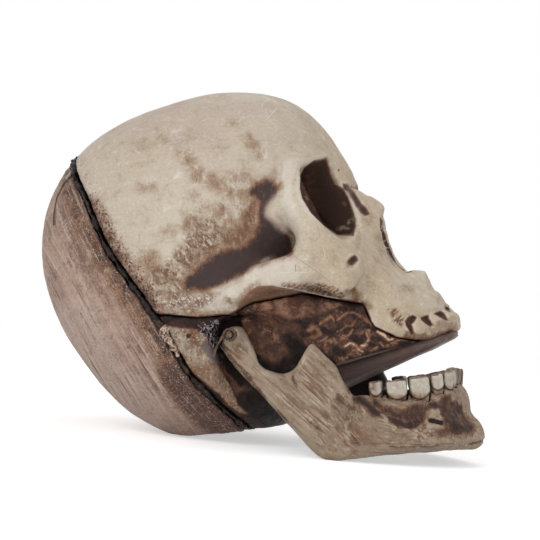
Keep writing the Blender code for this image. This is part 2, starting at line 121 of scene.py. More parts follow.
# Outlines and lines are places in the photograph, in pixels, on the side that it shows. What is
# worked or painted there is mirrored on the other side.
orbit_rim = (
    (327, 157.6), (313, 161.3), (304, 167.8), (300.5, 175.4), (300, 188), (302, 197.8),
    (311, 213), (324, 226), (338, 235), (353, 235.8), (356, 226), (354, 214),
    (348.6, 197.3), (343.6, 188.6), (334.9, 183.8), (330, 172),
)
nose_rim = (
    (379.5, 215), (380.5, 222), (382.5, 231), (385.5, 241), (390, 252), (396, 262), (404, 270),
)
nose_notch = ((402, 269.5), (406.5, 271.8), (411, 271))
tear_slot = (
    (343, 184), (348.5, 185), (352.5, 190), (357, 197), (361.5, 203.5), (366.5, 209),
    (369, 213.5), (366, 216), (361, 213), (356.5, 206.5), (352.5, 199), (348.5, 192.5), (344, 189),
)
tear_ridge = ((346.5, 193.3), (350, 202), (354, 211.5), (358, 220))
# Stain marks, glints, smears and strands, and also painted shadows and painted highlights: a line, its
# reach and soft edge in pixels, and its strength.
orbit_glints = (
    (((337, 229.5), (344, 227), (350, 229)), 0.3, 2, 0.8), (((341, 234.5), (353, 235)), 0, 2, 0.6),
    (((349, 223), (354, 220), (356, 217)), 0.5, 2.5, 0.9), (((306, 196), (307.5, 198)), 0, 2, 0.7),
    (((343, 205), (345, 207)), 0, 3, 0.3),
)
cheek_hole = ((351, 262), (354.5, 259))
brow_pit = ((338.5, 169.8), (338.8, 170.4))
nose_line = ((358, 222), (359, 236), (358, 249))
temple_upper = (
    (250, 190.5), (257, 185), (266, 180), (272, 178), (275.5, 184), (277, 191), (274, 198),
    (268, 204), (264.5, 210), (260, 203), (258, 197), (253, 195),
)
temple_neck = ((263, 206), (262, 213), (263, 222))
temple_band = (
    (261, 220), (266, 217.9), (275.2, 225.2), (279.8, 232.4), (286, 236.6), (289.5, 243.7),
    (290.5, 252.4), (279.2, 255), (269, 257.5), (258.6, 263.5), (248.1, 270), (238.4, 276.6),
    (226.7, 282.3), (213, 287.1), (200.3, 290.5), (188, 289.4), (183, 284.1), (187.3, 277),
    (197.8, 267.4), (208.9, 259.7), (218.4, 252.7), (226.8, 249), (238.7, 248.6), (248.8, 243.6),
    (254.7, 236.9), (257, 229.6),
)
temple_fringe = (
    (180, 286), (188, 268), (202, 254), (214, 244), (222, 230), (236, 222), (244, 208),
    (244, 194), (252, 182), (264, 176), (277, 177), (281, 190), (272, 206), (266, 216),
    (281, 229), (291, 245), (291, 255), (262, 264), (240, 278), (216, 289), (192, 293),
)
under_arch = (
    (233, 322), (236, 311), (241, 302), (249, 292), (258, 286), (275, 285.5), (300, 290.5),
    (322, 295.5), (338, 298.5), (352, 300), (356, 314), (300, 318), (246, 324),
)
scales = (
    (192, 216), (206, 214), (220, 222), (232, 240), (222, 248), (206, 262), (192, 272),
    (186, 284), (198, 292), (216, 290), (214, 304), (192, 314), (168, 312), (152, 292),
    (148, 272), (164, 262), (182, 246),
)
arch_chips = ((170, 304), (184, 302), (198, 300), (212, 305))
hatching = (
    (300, 284), (322, 283), (338, 288), (346, 296), (340, 299.5), (322, 295.5), (300, 291),
    (282, 288), (282, 284),
)
jaw_hatching = ((388, 309), (396, 308), (404, 318), (402, 328), (394, 322))
vault_stains = (
    (((137, 147), (148, 145)), 0, 15, 0.5), (((160, 139), (166, 138)), 0, 11, 0.55),
    (((157, 128), (159, 130)), 0, 9, 0.4), (((188, 156), (192, 166), (197, 178)), 0, 14, 0.85),
    (((178, 154), (187, 158)), 0, 13, 0.5), (((230, 123), (238, 121)), 0, 15, 0.5),
    (((248, 140), (254, 146), (260, 152)), 0, 14, 0.7), (((142, 188), (153, 186)), 0, 11, 0.6),
    (((192, 194), (196, 198)), 0, 13, 0.55), (((212, 181), (224, 188), (240, 196)), 0, 18, 0.8),
    (((236, 178), (250, 181), (258, 184)), 0, 15, 0.7), (((163, 232), (172, 232)), 0, 13, 0.6),
    (((200, 206), (212, 210), (222, 212)), 0, 16, 0.65), (((119, 176), (120, 177)), 0, 4, 0.5),
    (((176, 142), (200, 138), (216, 148)), 2, 22, 0.3), (((100, 150), (130, 164)), 4, 26, 0.22),
)
temple_stains = (
    (((244, 200), (250, 214), (246, 228)), 3, 14, 0.75), (((256, 204), (259, 222)), 2, 8, 0.9),
    (((222, 214), (230, 230), (238, 240)), 3, 16, 0.85),
    (((192, 222), (204, 236), (214, 246)), 3, 18, 0.8),
    (((196, 252), (180, 270), (166, 296)), 2, 18, 0.65),
    (((206, 236), (190, 250), (176, 264)), 2, 16, 0.6), (((150, 262), (168, 292)), 3, 18, 0.85),
)
arch_stains = (
    (((152, 304), (172, 310), (198, 314), (222, 316), (236, 314)), 1, 9, 0.9),
    (((226, 302), (230, 305)), 0, 6, 1.0), (((238, 304), (246, 294), (258, 284)), 0, 9, 0.9),
    (((284, 285), (300, 286), (322, 288), (342, 294)), 0, 7, 0.6),
    (((292, 287), (310, 290), (336, 297)), 0, 4, 0.9), (((216, 292), (208, 299)), 1, 8, 0.6),
)
cheek_stains = (
    (((349, 264), (354, 259)), 1, 6, 0.8), (((346, 187), (350, 190), (352, 196)), 0, 7, 0.7),
    (((363, 209), (368, 222)), 0, 9, 0.6), (((358, 224), (359, 249)), 0, 5, 0.5),
    (((351, 291), (357, 297), (367, 305)), 1, 8, 1.3), (((408, 287), (411, 288)), 0, 8, 0.7),
    (((376, 262), (372, 280)), 1, 12, 0.4), (((378, 236), (384, 256)), 0, 8, 0.55),
    (((391, 311), (399, 322)), 1, 8, 0.6), (((306, 252), (312, 262)), 1, 12, 0.4),
    (((328, 160), (331, 170), (338, 182)), 0, 7, 0.8), (((336, 262), (330, 256)), 1, 12, 0.4),
    (((404, 317), (411, 316), (425, 314), (440, 308), (450, 303)), 0, 5, 0.5),
    (((409, 337), (418, 339.5), (430, 339), (440, 336)), 3, 5, 1.3),
    (((442, 334), (456, 330)), 1, 5, 1.0), (((434, 328), (446, 323), (452, 327)), 2, 7, 0.7),
    (((436, 334), (448, 331)), 1, 6, 0.9), (((405, 288), (412, 286)), 0, 10, 0.7),
    (((370, 216), (373, 219)), 1, 6, 0.6), (((388, 286), (402, 296)), 2, 14, 0.3),
)
# Pale smears on the cheekbone, arch, orbit rim and vault: partly chalky paint, partly painted
# highlight.
pale_smears_and_highlights = (
    (((275, 198), (269, 206), (267, 214), (273, 222), (285, 231)), 0, 8, 0.6),
    (((299, 176), (297, 188), (300, 198), (309, 213)), 0, 3, 0.45),
    (((268, 259), (256, 267), (244, 276), (226, 287), (214, 292)), 0, 6, 0.75),
    (((420, 272), (426, 276)), 2, 5, 0.5), (((228, 92), (270, 96)), 2, 10, 0.4),
    (((270, 176), (266, 172)), 1, 6, 0.4),
)
# Thin drawn lines: the line, and its tone from 0 for dark to 1 for pale.
face_lines = (
    (((291.5, 254), (303, 262), (316, 271), (329.5, 281.5)), 0.3),
    (((318, 228), (320, 235), (317, 240), (311.7, 242)), 0.35),
    (((323, 247), (325, 254), (324, 259)), 0.75), (((295.3, 265.5), (295.6, 270.5)), 0.0),
    (((279, 273), (296, 272.5), (306, 272.5)), 0.9), (((196, 106), (208, 105), (219, 103.5)), 0.5),
    (((274.6, 285.7), (300, 290.2), (322, 295.4), (338, 298.5)), 1.0),
    (((254, 160.5), (258, 160)), 0.3), (((92, 160), (93.5, 176), (91, 192)), 0.5),
    (((262, 106), (264.5, 101), (270, 99), (278, 103)), 0.9),
    (((221, 203.5), (224, 206), (223, 207)), 0.0), (((268, 118), (276, 109)), 0.9),
)
# The gaps between the upper teeth, sunk and painted dark: painted shade.
wedges = (
    ((413, 315.5), (416.5, 317.5), (414.5, 321), (411.8, 324.5), (412.5, 328.5), (413.8, 333.5),
     (412.3, 334.5), (409, 330), (406, 325.5), (405.3, 321.5), (408, 318)),
    ((421.4, 317.8), (428.2, 315), (429.2, 318.5), (432, 325), (430, 326.2), (425.4, 323),
     (422.2, 320.5)),
    ((434.8, 313.6), (440.7, 310.7), (444.4, 313.4), (447, 319.9), (445, 320.2), (439.8, 316.8)),
    ((445.4, 305.6), (451.5, 311), (449.6, 311.8), (446, 308.6)),
)
# How the middle plane is moved: a place, how far the move reaches and the move, in pixels, and the
# share by which the form narrows there.
profile_moves = (
    ((358, 184), 7, (-5, 2), 0), ((362, 184), 5, (-4, 0), 0), ((366, 192), 5, (0, 3), 0),
    ((379, 205), 7, (4.5, 1), 0), ((378, 215), 5, (3.5, 0), 0), ((375, 222), 8, (5.5, 0), 0.1),
    ((377, 235), 8, (5.5, 0), 0.2), ((376, 247), 7, (5, 0), 0.3), ((384, 250), 7, (3, 0), 0.5),
    ((384, 258), 6, (1.5, 0), 0.3), ((392, 261), 6, (0.5, 1), 0.5), ((398, 264), 5, (-2, 1), 0),
    ((407, 267), 6, (-2, 4), 0), ((423, 272), 5, (2, -2), 0), ((436, 286), 7, (-4.5, 2), 0),
    ((446, 300), 7, (-7, 2.5), 0), ((454, 309), 5, (-5, 1), 0), ((453, 326), 5, (4, 0), 0),
    ((456, 330), 5, (2, 3), 0), ((236, 314), 5, (0, 1.5), 0),
)
base_moves = (((235, 318), 5, (0, -2.5), 0),)
palate_moves = (((446, 337), 8, (8, -3), 0), ((428, 346), 12, (0, 0.5), 0))
# What is raised or sunk: a line, its reach and soft edge in pixels, and the height in millimetres.
face_grooves = ((tear_ridge, 0.8, 3, 0.8), (cheek_hole, 0.8, 4, -1.8), (nose_line, 0.3, 4, -0.4))
crown_swell = (3, 7, 1.1)
wedge_depth = -2.4
tear_depth = -1.2
# The orbit's raised rim and the groove inside it: their distance from the rim and their width in
# pixels, and the height in millimetres.
orbit_lip = (2.5, 3, 0.4)
orbit_groove = (-2, 2.5, -1.2)
# How much fuller the palate is than its solid, all along and then at the front, in millimetres.
palate_fullness = 0.9
palate_front_fullness = 0.5
palate_front = (380, 430)
upper_jaw_light = ((400, 288), (420, 290), (440, 306))
upper_crowns = ((404, 328), (420, 328), (436, 325), (449, 320))
# Areas that get a finer mesh.
face_front = (
    (300, 150), (350, 150), (395, 200), (440, 270), (470, 300), (464, 345), (380, 345),
    (340, 305), (300, 290), (292, 250), (292, 180),
)
tooth_rows = ((394, 300), (440, 292), (466, 300), (464, 345), (392, 345))

rear_split = ((81, 165), (72, 175), (64, 184), (57, 197), (54.5, 210), (53.5, 224))
rear_cracks = ((rear_split, 0.0), (((84, 161), (74, 168), (66, 178)), 0.6))
rear_purple = (
    (62, 190), (76, 184), (86, 212), (100, 244), (112, 272), (98, 282), (80, 264), (66, 236),
    (58, 212),
)
rear_top = ((80, 172), (88, 196), (98, 220), (110, 246), (122, 268))
# Painted bounce light: the lower rear made paler, as lit by light thrown up from the floor.
rear_painted_bounce = ((78, 318), (104, 372), (146, 412))
seam_line = ((78, 158), (100, 215), (130, 270), (160, 325), (198, 385), (246, 436))
# Painted shade on the lower rear by the jaw; darker along the bottom edge below.
rear_shade = ((176, 376), (192, 398), (212, 416), (236, 430))
rear_low = ((160, 432), (200, 434), (236, 432))

base_cream = (
    (163, 325), (180.9, 328.4), (196, 329.8), (207, 337), (211, 348), (216.8, 362.6),
    (225.8, 379.1), (230.6, 387), (235.2, 398.5), (238.5, 406), (251.2, 409.4), (252.4, 414),
    (239.1, 412.8), (229.4, 405.5), (219.7, 394.6), (207.6, 385.2), (197.9, 376.7), (187, 365.8),
    (178.5, 354.8), (171.2, 342.7),
)
base_smear = ((207, 347), (213, 354), (219, 359))
base_pit = ((188.5, 336),)
base_veins = (
    (302, 332), (312, 322), (324, 313), (340, 307), (356, 308), (370, 318), (384, 327),
    (398, 331), (414, 334), (404, 342), (380, 349.5), (358, 356), (344, 360), (336, 361),
    (328, 352), (316, 348), (305, 344),
)
base_strands = (
    (((320, 324), (325, 320), (329.5, 316), (332.7, 321)), 0.3, 2.2, 0.8),
    (((337, 319), (341, 315), (347, 313), (354, 313.5), (358, 315), (364, 319), (373, 324)), 0,
     3, 0.7),
    (((308, 330), (312, 327), (316, 327), (320, 333), (312, 336)), 0.5, 4, 0.65),
    (((339.7, 339.4), (345, 336.5), (351.3, 333), (353, 330)), 0.2, 2.2, 0.75),
    (((345, 346), (348, 343.5), (352, 344), (357.5, 347), (363, 352)), 0.4, 2, 1.1),
    (((362, 346), (366, 344), (368.4, 339.4), (367, 335), (370, 331)), 0.3, 2, 0.95),
    (((379, 332), (384.8, 334.8), (386, 338), (389, 341), (392, 340), (396, 336), (400, 334)), 0.5,
     2, 1.15),
    (((415, 336.5), (420, 338), (425, 339)), 0.2, 1.8, 0.8),
    (((342, 358), (346.5, 361)), 0.2, 2, 0.7),
    (((379, 342.5), (382.5, 347), (388, 346)), 0.2, 2, 0.8),
    (((417, 343), (424, 340), (432, 339)), 0.2, 2, 0.9),
    (((398, 341), (406, 340), (410, 343)), 0, 2, 0.7),
    (((356, 322), (352, 326), (346, 326), (341, 330)), 0, 2.5, 0.6),
    (((370, 350), (376, 347)), 0, 2, 0.7),
    (((326, 341), (332, 338), (335, 343)), 0, 2.5, 0.6), (((320, 345), (326, 348)), 0, 3, 0.5),
)
base_gaps = (
    (((323, 329), (331, 336)), 1, 4, 0.9), (((350, 336), (356, 339), (361, 343)), 1.5, 4, 1.0),
    (((369, 328), (376, 331)), 1, 3, 0.9), (((388, 331), (393, 335), (398, 331)), 1.2, 3, 0.9),
    (((336, 350), (342, 354)), 2, 5, 0.9), (((372, 338), (380, 339)), 1, 4, 0.8),
    (((333, 300), (345, 308)), 2, 6, 0.8), (((370, 344), (374, 345)), 1, 3, 0.8),
)
base_keel = (
    (336, 363), (358, 357.5), (380, 351.5), (410, 344.5), (443, 332.5), (456, 332), (442, 352),
    (392, 376), (350, 394), (340, 380),
)
base_glow = (
    (242, 320), (262, 317), (285, 319), (300, 326), (301, 343), (290, 350), (276, 362),
    (262, 362), (250, 350), (243, 335),
)
# Painted orange highlights behind the jaw's ramus.
base_orange_highlights = (
    (((226, 368), (238, 380), (250, 396)), 2, 8, 1.0), (((234, 384), (240, 394)), 1, 4, 1.0),
)
# Painted orange highlights on the base under the arch and among the strands.
base_painted_highlights = (
    (((262, 296), (270, 298)), 0, 4, 0.9), (((298, 291.5), (302, 292.5)), 0, 3, 1.0),
    (((252, 302), (268, 304), (284, 302)), 1, 6, 0.6), (((244, 322), (252, 319)), 0, 4, 0.8),
    (((246, 312), (262, 309)), 1, 5, 0.5), (((310, 300), (330, 304)), 1, 5, 0.5),
    (((352, 318), (360, 326)), 2, 6, 0.7), (((384, 336), (394, 342)), 1, 5, 0.7),
    (((262, 330), (275, 336), (288, 334)), 2, 9, 0.5),
)
base_under = (
    (250, 302), (262, 296), (300, 296), (340, 304), (342, 314), (300, 317), (262, 318),
)
# Painted shadow: very dark strokes behind the ramus, under the notch, by the hinge and in the pit.
base_painted_shadows = (
    (((223, 357), (232, 368), (243, 378)), 4, 6, 1.0),
    (((248, 400), (262, 412), (286, 426)), 7, 8, 1.0),
    (((290, 338), (298, 350), (303, 366)), 4, 9, 0.9),
    (((250, 360), (268, 372), (290, 374)), 4, 7, 1.0),
    (((220, 322), (238, 322.5)), 2, 3, 1.1), (((208, 396), (236, 424)), 1, 4, 0.7),
    (((218, 352), (230, 370)), 1, 4, 1.0),
)

jaw_recess = (
    (352, 389), (362, 391), (372.7, 391), (377, 398), (386, 406.4), (392.1, 418.5),
    (384.8, 420.3), (372.7, 416.1), (361, 407), (352.5, 399.5),
)
jaw_band = (
    (377.6, 400), (389.7, 407.4), (404.2, 412.4), (414, 409), (423.4, 404.4), (427, 412.4),
    (421.2, 424), (414.2, 429.2), (405.7, 427.8), (397, 424), (389.7, 421), (382.4, 413.4),
)
jaw_front = (
    (427.3, 406.4), (434.5, 400.3), (440.8, 401.7), (445.5, 396.2), (450.3, 398.6),
    (457.6, 399.1), (462.4, 406.4), (462, 413.6), (469.5, 420.9), (476, 427), (473.3, 435),
    (464.8, 437), (457.6, 439.1), (445.5, 437.9), (437, 436.7), (434.5, 433), (445.5, 429.4),
    (444.2, 423.3), (438.2, 418.5), (429.7, 418.5), (426, 413.6),
)
jaw_hole = ((431, 420.5), (436.5, 421.5), (441.5, 422.8))
jaw_lip = ((431.5, 415.5), (435, 413.5), (438, 411.5))
# Patches: an outline, its soft edge in pixels, and its strength.
jaw_patches = (
    (((355, 398), (363, 397), (368, 401), (374, 406), (380, 412), (387, 416), (396, 418.5),
      (404, 421), (412, 420), (419, 416), (424, 419), (423.5, 424), (418, 428), (410.6, 429),
      (396.7, 426), (388.3, 421.5), (378.6, 417), (368.9, 410), (360.6, 404.5)), 3.5, 1.25),
    (((374.4, 397), (382, 404), (392, 407), (402, 408), (412, 405), (418, 403), (425, 404.5),
      (426, 412), (426, 419), (418, 422), (404, 422), (390, 418), (380, 413), (371, 404)), 8, 1.1),
    (((424, 405.5), (428, 402.5), (433, 400.5), (438.3, 403.5), (442, 398), (445.3, 394.5),
      (450, 394.5), (452.5, 402), (456, 400), (459.5, 402.5), (462, 409), (466.5, 417),
      (473.5, 425.5), (473.5, 432), (464.7, 434), (454, 436), (446, 431.5), (445, 424.5),
      (441.5, 416), (436, 409.5), (428, 410.5), (424.5, 413)), 5, 1.05),
    (((434, 432.8), (441, 427.5), (449.4, 429), (453, 436), (441, 437.5)), 5, 0.75),
)
jaw_islands = (
    (((459, 401.5), (459.2, 404)), 0.2, 2, 0.8), (((460, 416), (460.5, 418.5)), 0.2, 2, 0.8),
    (((466, 413), (467, 416)), 0, 3, 0.6), (((381, 414), (387, 419)), 0.2, 2.2, 0.8),
    (((448, 402), (448.5, 406)), 0, 2, 0.4), (((392, 410), (398, 413)), 0, 3, 0.4),
)
jaw_borders = (
    (352, 437), (380, 441), (430, 443), (480, 441), (483, 448), (440, 454), (390, 455),
    (350, 455),
)
jaw_darks = (
    (((357, 399), (363, 402), (370, 407), (376, 412)), 0, 9, 1.3),
    (((412, 424), (419, 420)), 0, 9, 1.25),
    (((428, 407), (434, 404), (437, 407)), 0, 6, 1.25), (((446.5, 397.5), (447.5, 404)), 0, 5, 1.2),
    (((449, 421), (458, 427), (470, 428)), 0, 11, 1.3),
)
chin_crease = ((470, 444), (477, 442.6), (483.5, 440.6))
jaw_lines = (
    (((352, 441), (380, 443.5), (424, 444.5), (452, 443.5)), 0.1),
    (((350, 447), (385, 449.5), (430, 449), (450, 448)), 0.2),
    (chin_crease, 0.0),
    (((372, 452.5), (404, 453.5), (440, 451.5)), 0.1), (((328, 371), (334, 372.5)), 0.1),
    (((390, 446.5), (420, 447), (438, 446)), 0.0), (((300, 432), (318, 446)), 0.2),
    (((222, 352), (232, 367), (246, 384), (262, 402)), 1.0),
)
jaw_grooves = ((jaw_hole, 0.8, 2.5, -1.4), (jaw_lip, 1, 3, 0.9), (chin_crease, 0.4, 2, -0.6))
# Pale smears on the coronoid tip, the ramus edge and ridges: partly chalky paint, partly painted
# highlight.
jaw_smears_and_highlights = (
    (((312, 341), (306, 352), (302, 362)), 0, 2.5, 0.8),
    (((240, 330), (245, 343), (256, 358), (268, 374)), 1, 4, 0.4),
    (((380, 413), (388, 419)), 0.3, 2, 0.6), (((432, 409), (438, 408)), 0.5, 2, 0.4),
)
jaw_stains = (
    (((307, 420), (316, 427), (325, 433)), 0, 6, 0.9), (((320, 350), (334, 372)), 2, 14, 0.5),
    (((340, 396), (352, 410)), 0, 12, 0.8), (((310, 372), (324, 392)), 1, 16, 0.5),
    (((330, 408), (350, 424)), 1, 16, 0.55), (((296, 398), (306, 414)), 0, 12, 0.6),
    (((240, 370), (262, 398), (290, 428)), 1, 5, 0.9),
    (((220, 332), (224, 346), (234, 362), (248, 379), (262, 397)), 1.5, 5, 0.95),
    (((228, 326), (236, 332)), 0, 6, 0.7), (((240, 346), (243, 352)), 0, 4, 0.5),
    (((247, 326), (250, 342), (260, 354), (272, 360)), 0, 4, 0.8),
    (((344, 376), (350, 392)), 0, 8, 0.8), (((456, 437), (462, 436)), 0, 6, 0.8),
    (((360, 418), (380, 430), (410, 438)), 1, 12, 0.45), (((318, 446), (345, 452)), 0, 7, 0.5),
    (((412, 400), (424, 401)), 1, 8, 0.7), (((300, 408), (330, 436)), 4, 20, 0.3),
    (((293, 376), (296, 383), (298, 390)), 0, 4, 0.9), (((312, 368), (329, 381)), 0, 6, 0.6),
    (((378, 402), (396, 404), (410, 402)), 1, 8, 0.5), (((430, 446), (462, 444)), 0, 8, 0.5),
    (((436, 392), (462, 392)), 0, 6, 0.5), (((372, 398), (390, 400)), 2, 6, 0.6),
)
# The visible foot of each lower tooth, from the rear one on: its left, right, middle height and
# lowest point, in pixels.
tooth_feet = (
    (368.5, 383, 385, 396.5), (385.5, 409, 387.5, 399.8), (408.5, 430.8, 387, 399.3),
    (431, 444.3, 380.5, 390.5), (444, 456, 380, 390), (455, 461.5, 379, 389.5),
)
# The hinge tie: its path in metres, as in the part's source, and its two twisted strands.
hinge_place = Vector((-0.0008, 0, 0.0498))
coil_radius = 0.00235
coil_turns = 2.25
coil_pitch = 0.0017
coil_start = 0.05772
coil_points = 24
tie_tail = (Vector((-0.0054, 0.0601, 0.0458)), Vector((-0.0068, 0.0599, 0.0422)),
            Vector((-0.0072, 0.0593, 0.0392)))
strand_radius = 0.00036
strand_offset = 0.00030
strand_twists = 16
strand_sides = 8
filament_radius = 0.00015
filament_sides = 6
filament_steps = 6
filament_lift = (0.0006, 0.0022)
filament_waver = (-0.0003, 0.0006)
filament_seed = 11
# The loose filaments' and the small knob's places in the photograph.
filaments = (
    ((198, 325), (202, 329), (200, 333), (205, 334), (208, 331), (211, 336), (210, 342),
     (214, 346)),
    ((203, 322), (207, 326), (212, 325), (214, 330), (211, 335), (214, 340), (213, 347)),
    ((201, 331), (205, 327), (209, 328), (212, 332), (210, 338), (215, 341), (218, 347)),
    ((214, 319), (212, 325), (215, 331), (213, 337), (216, 343)),
    ((204, 326), (209, 330), (207, 335), (211, 339), (215, 338), (217, 344)),
    ((217, 320), (216, 326), (218, 332), (216, 338), (219, 344), (224, 351)),
    ((210, 321), (214, 324), (211, 328), (206, 327), (203, 331)),
    ((219, 323), (217, 329), (214, 333), (217, 337), (220, 342), (227, 354)),
)
knob = ((216.5, 322), 0.0011)

bead_chunk = ((165, 330), (171, 341), (177, 353))
bead_lenses = (((154, 316), (162, 327)), ((198, 384), (212, 401)))


def camera_axes():
    """Where the camera stands, and its right, up and forward directions."""
    a, e = view_azimuth, view_elevation
    place = view_aim + view_distance * Vector(
        (math.sin(a) * math.cos(e), -math.cos(a) * math.cos(e), math.sin(e)))
    forward = (view_aim - place).normalized()
    right = Vector((math.cos(a), math.sin(a), 0))
    up = right.cross(forward)
    rolled = right * math.cos(view_roll) + up * math.sin(view_roll)
    return place, rolled, rolled.cross(forward), forward


def add_camera():
    place, right, up, forward = camera_axes()
    data = bpy.data.cameras.new("camera")
    data.sensor_width = sensor_width
    data.lens = focal_pixels * sensor_width / photo_side
    camera = bpy.data.objects.new("camera", data)
    turn = Matrix((right, up, -forward)).transposed().to_4x4()
    camera.matrix_world = Matrix.Translation(place) @ turn
    bpy.context.scene.collection.objects.link(camera)
    bpy.context.scene.camera = camera


def new_object(name, mesh):
    obj = bpy.data.objects.new(name, mesh)
    bpy.context.scene.collection.objects.link(obj)
    return obj


def settle(obj):
    """Makes the object's modifiers part of its mesh."""
    graph = bpy.context.evaluated_depsgraph_get()
    mesh = bpy.data.meshes.new_from_object(obj.evaluated_get(graph))
    obj.modifiers.clear()
    obj.data = mesh


class Form:
    """A mesh's points and normals as arrays, and where they lie in the photograph."""

    def __init__(self, obj):
        self.obj = obj
        self.read()

    def read(self):
        mesh = self.obj.data
        count = len(mesh.vertices)
        self.points = np.empty(3 * count, np.float32)
        mesh.vertices.foreach_get("co", self.points)
        self.points = self.points.reshape(-1, 3).astype(float)
        self.normals = np.empty(3 * count, np.float32)
        mesh.vertex_normals.foreach_get("vector", self.normals)
        self.normals = self.normals.reshape(-1, 3).astype(float)
        self.pixels, self.facing = self.seen_from(-1)

    def seen_from(self, side):
        """Where the points lie in the photograph, all brought to one side, and if they face it."""
        place, right, up, forward = (np.array(v) for v in camera_axes())
        flip = np.ones_like(self.points)
        flip[:, 1] = np.where(self.points[:, 1] * side < 0, -1, 1)
        away = self.points * flip - place
        depth = away @ forward
        pixels = np.stack([photo_side / 2 + focal_pixels * (away @ right) / depth,
                           photo_side / 2 - focal_pixels * (away @ up) / depth], 1)
        return pixels, ease(-(self.normals * flip) @ forward, *facing_edge)

    def write(self):
        low, high = (np.array(corner) for corner in cad_box)
        self.points = np.clip(self.points, low, high)
        self.obj.data.vertices.foreach_set("co", self.points.astype(np.float32).ravel())
        self.obj.data.update()
        self.read()

    def push(self, weights, height):
        """Moves the points out along their normals by weights times a height in millimetres."""
        self.points += self.normals * (weights * height * millimetre)[:, None]

    def keep(self, name, values):
        """Stores a value per point, which the materials read as a paint mask."""
        mask = self.obj.data.attributes.new(name, "FLOAT", "POINT")
        mask.data.foreach_set("value", np.clip(values, 0, mask_limit).astype(np.float32))


def ease(values, low, high):
    """0 below low and 1 above high, with a smooth rise between."""
    t = np.clip((values - low) / (high - low), 0, 1)
    return t * t * (3 - 2 * t)


def from_line(pixels, line):
    """The distance of each pixel place from a broken line, or from a single place."""
    line = np.array(line, float)
    ends = line[1:] if len(line) > 1 else line
    best = np.full(len(pixels), np.inf)
    for start, end in zip(line, ends):
        way = end - start
        share = np.clip((pixels - start) @ way / max(way @ way, 1e-9), 0, 1)
        gap = pixels - start - share[:, None] * way
        best = np.minimum(best, np.hypot(gap[:, 0], gap[:, 1]))
    return best


def from_outline(pixels, outline):
    """The distance of each pixel place from a closed outline, negative inside."""
    ring = list(outline) + [outline[0]]
    far = from_line(pixels, ring)
    inside = np.zeros(len(pixels), bool)
    for (x0, y0), (x1, y1) in zip(ring, ring[1:]):
        if y0 == y1:
            continue
        spans = (pixels[:, 1] >= min(y0, y1)) & (pixels[:, 1] < max(y0, y1))
        cross = x0 + (pixels[:, 1] - y0) * (x1 - x0) / (y1 - y0)
        inside ^= spans & (pixels[:, 0] < cross)
    return np.where(inside, -far, far)


def line_mask(form, line, reach, soft):
    """1 within reach of the line, falling to 0 over soft more pixels."""
    return (1 - ease(from_line(form.pixels, line), reach, reach + soft)) * form.facing


def outline_mask(form, outline, soft):
    """1 inside the outline, falling to 0 over soft pixels across its edge."""
    return (1 - ease(from_outline(form.pixels, outline), -soft / 2, soft / 2)) * form.facing


def crease_edges(mesh, least_angle):
    """Welds the mesh's split points, and creases the edges where it turns more than least_angle."""
    bm = bmesh.new()
    bm.from_mesh(mesh)
    bmesh.ops.remove_doubles(bm, verts=bm.verts, dist=weld_distance)
    crease = bm.edges.layers.float.new("crease_edge")
    for edge in bm.edges:
        if len(edge.link_faces) == 2 and edge.calc_face_angle() > least_angle:
            edge[crease] = 1
    bm.to_mesh(mesh)
    bm.free()


def worked_skin(name, node, grain, passes):
    """A fine, smooth copy of a CAD node's form, to sculpt on."""
    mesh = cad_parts[node].data.copy()
    crease_edges(mesh, crease_angle)
    obj = new_object(name, mesh)
    rounder = obj.modifiers.new("rounder", "SUBSURF")
    rounder.levels = round_levels
    rounder.render_levels = round_levels
    remesh = obj.modifiers.new("remesh", "REMESH")
    remesh.mode = "VOXEL"
    remesh.voxel_size = grain
    smooth = obj.modifiers.new("smooth", "SMOOTH")
    smooth.factor = smooth_factor
    smooth.iterations = passes
    settle(obj)
    obj.data.materials.clear()
    obj.data.shade_smooth()
    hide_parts(node)
    return obj


def hollows(form, passes):
    """How deep each point lies below its surroundings, in millimetres, negative on a ridge."""
    mesh = form.obj.data
    ends = np.empty(2 * len(mesh.edges), np.int32)
    mesh.edges.foreach_get("vertices", ends)
    a, b = ends.reshape(-1, 2).T
    count = len(form.points)
    links = np.maximum(np.bincount(a, minlength=count) + np.bincount(b, minlength=count), 1)
    smooth = form.points.copy()
    for _ in range(passes):
        total = np.stack([
            np.bincount(a, smooth[b, axis], count) + np.bincount(b, smooth[a, axis], count)
            for axis in range(3)], 1)
        smooth = (1 - hollow_pull) * smooth + hollow_pull * total / links[:, None]
    return ((smooth - form.points) * form.normals).sum(1) / millimetre


def fractal(form, size):
    """Noise of each point around 0, with lumps about size metres across."""
    return np.array([noise.fractal(Vector(p) / size, lump_falloff, lump_ratio, lump_octaves)
                     for p in form.points])


def tree_of(*nodes):
    """A search tree over the surfaces of CAD nodes."""
    points, faces = [], []
    for node in nodes:
        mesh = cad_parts[node].data
        first = len(points)
        points += [vert.co for vert in mesh.vertices]
        faces += [[first + index for index in face.vertices] for face in mesh.polygons]
    return BVHTree.FromPolygons(points, faces)


def near(form, tree, reach, soft):
    """1 within reach of the surfaces in the tree, falling to 0 over soft more, in millimetres."""
    limit = (reach + soft) * millimetre
    found = [tree.find_nearest(Vector(p), limit)[3] for p in form.points]
    gaps = np.array([limit if gap is None else gap for gap in found]) / millimetre
    return 1 - ease(gaps, reach, reach + soft)


def wavered(form, lumps, waver):
    """The form's pixel places, moved about by noise with lumps of two sizes."""
    return form.pixels + waver * np.stack([fractal(form, size) for size in lumps], 1)


def soft_lines(form, table, waver=3.0):
    """The strongest of some soft lines, each given with its reach, soft edge and strength; used for
    staining and also for painted shadows and highlights.
    """
    pixels = wavered(form, stain_lumps, waver)
    return form.facing * np.maximum.reduce([
        strength * (1 - ease(from_line(pixels, line), reach, reach + soft))
        for line, reach, soft, strength in table])


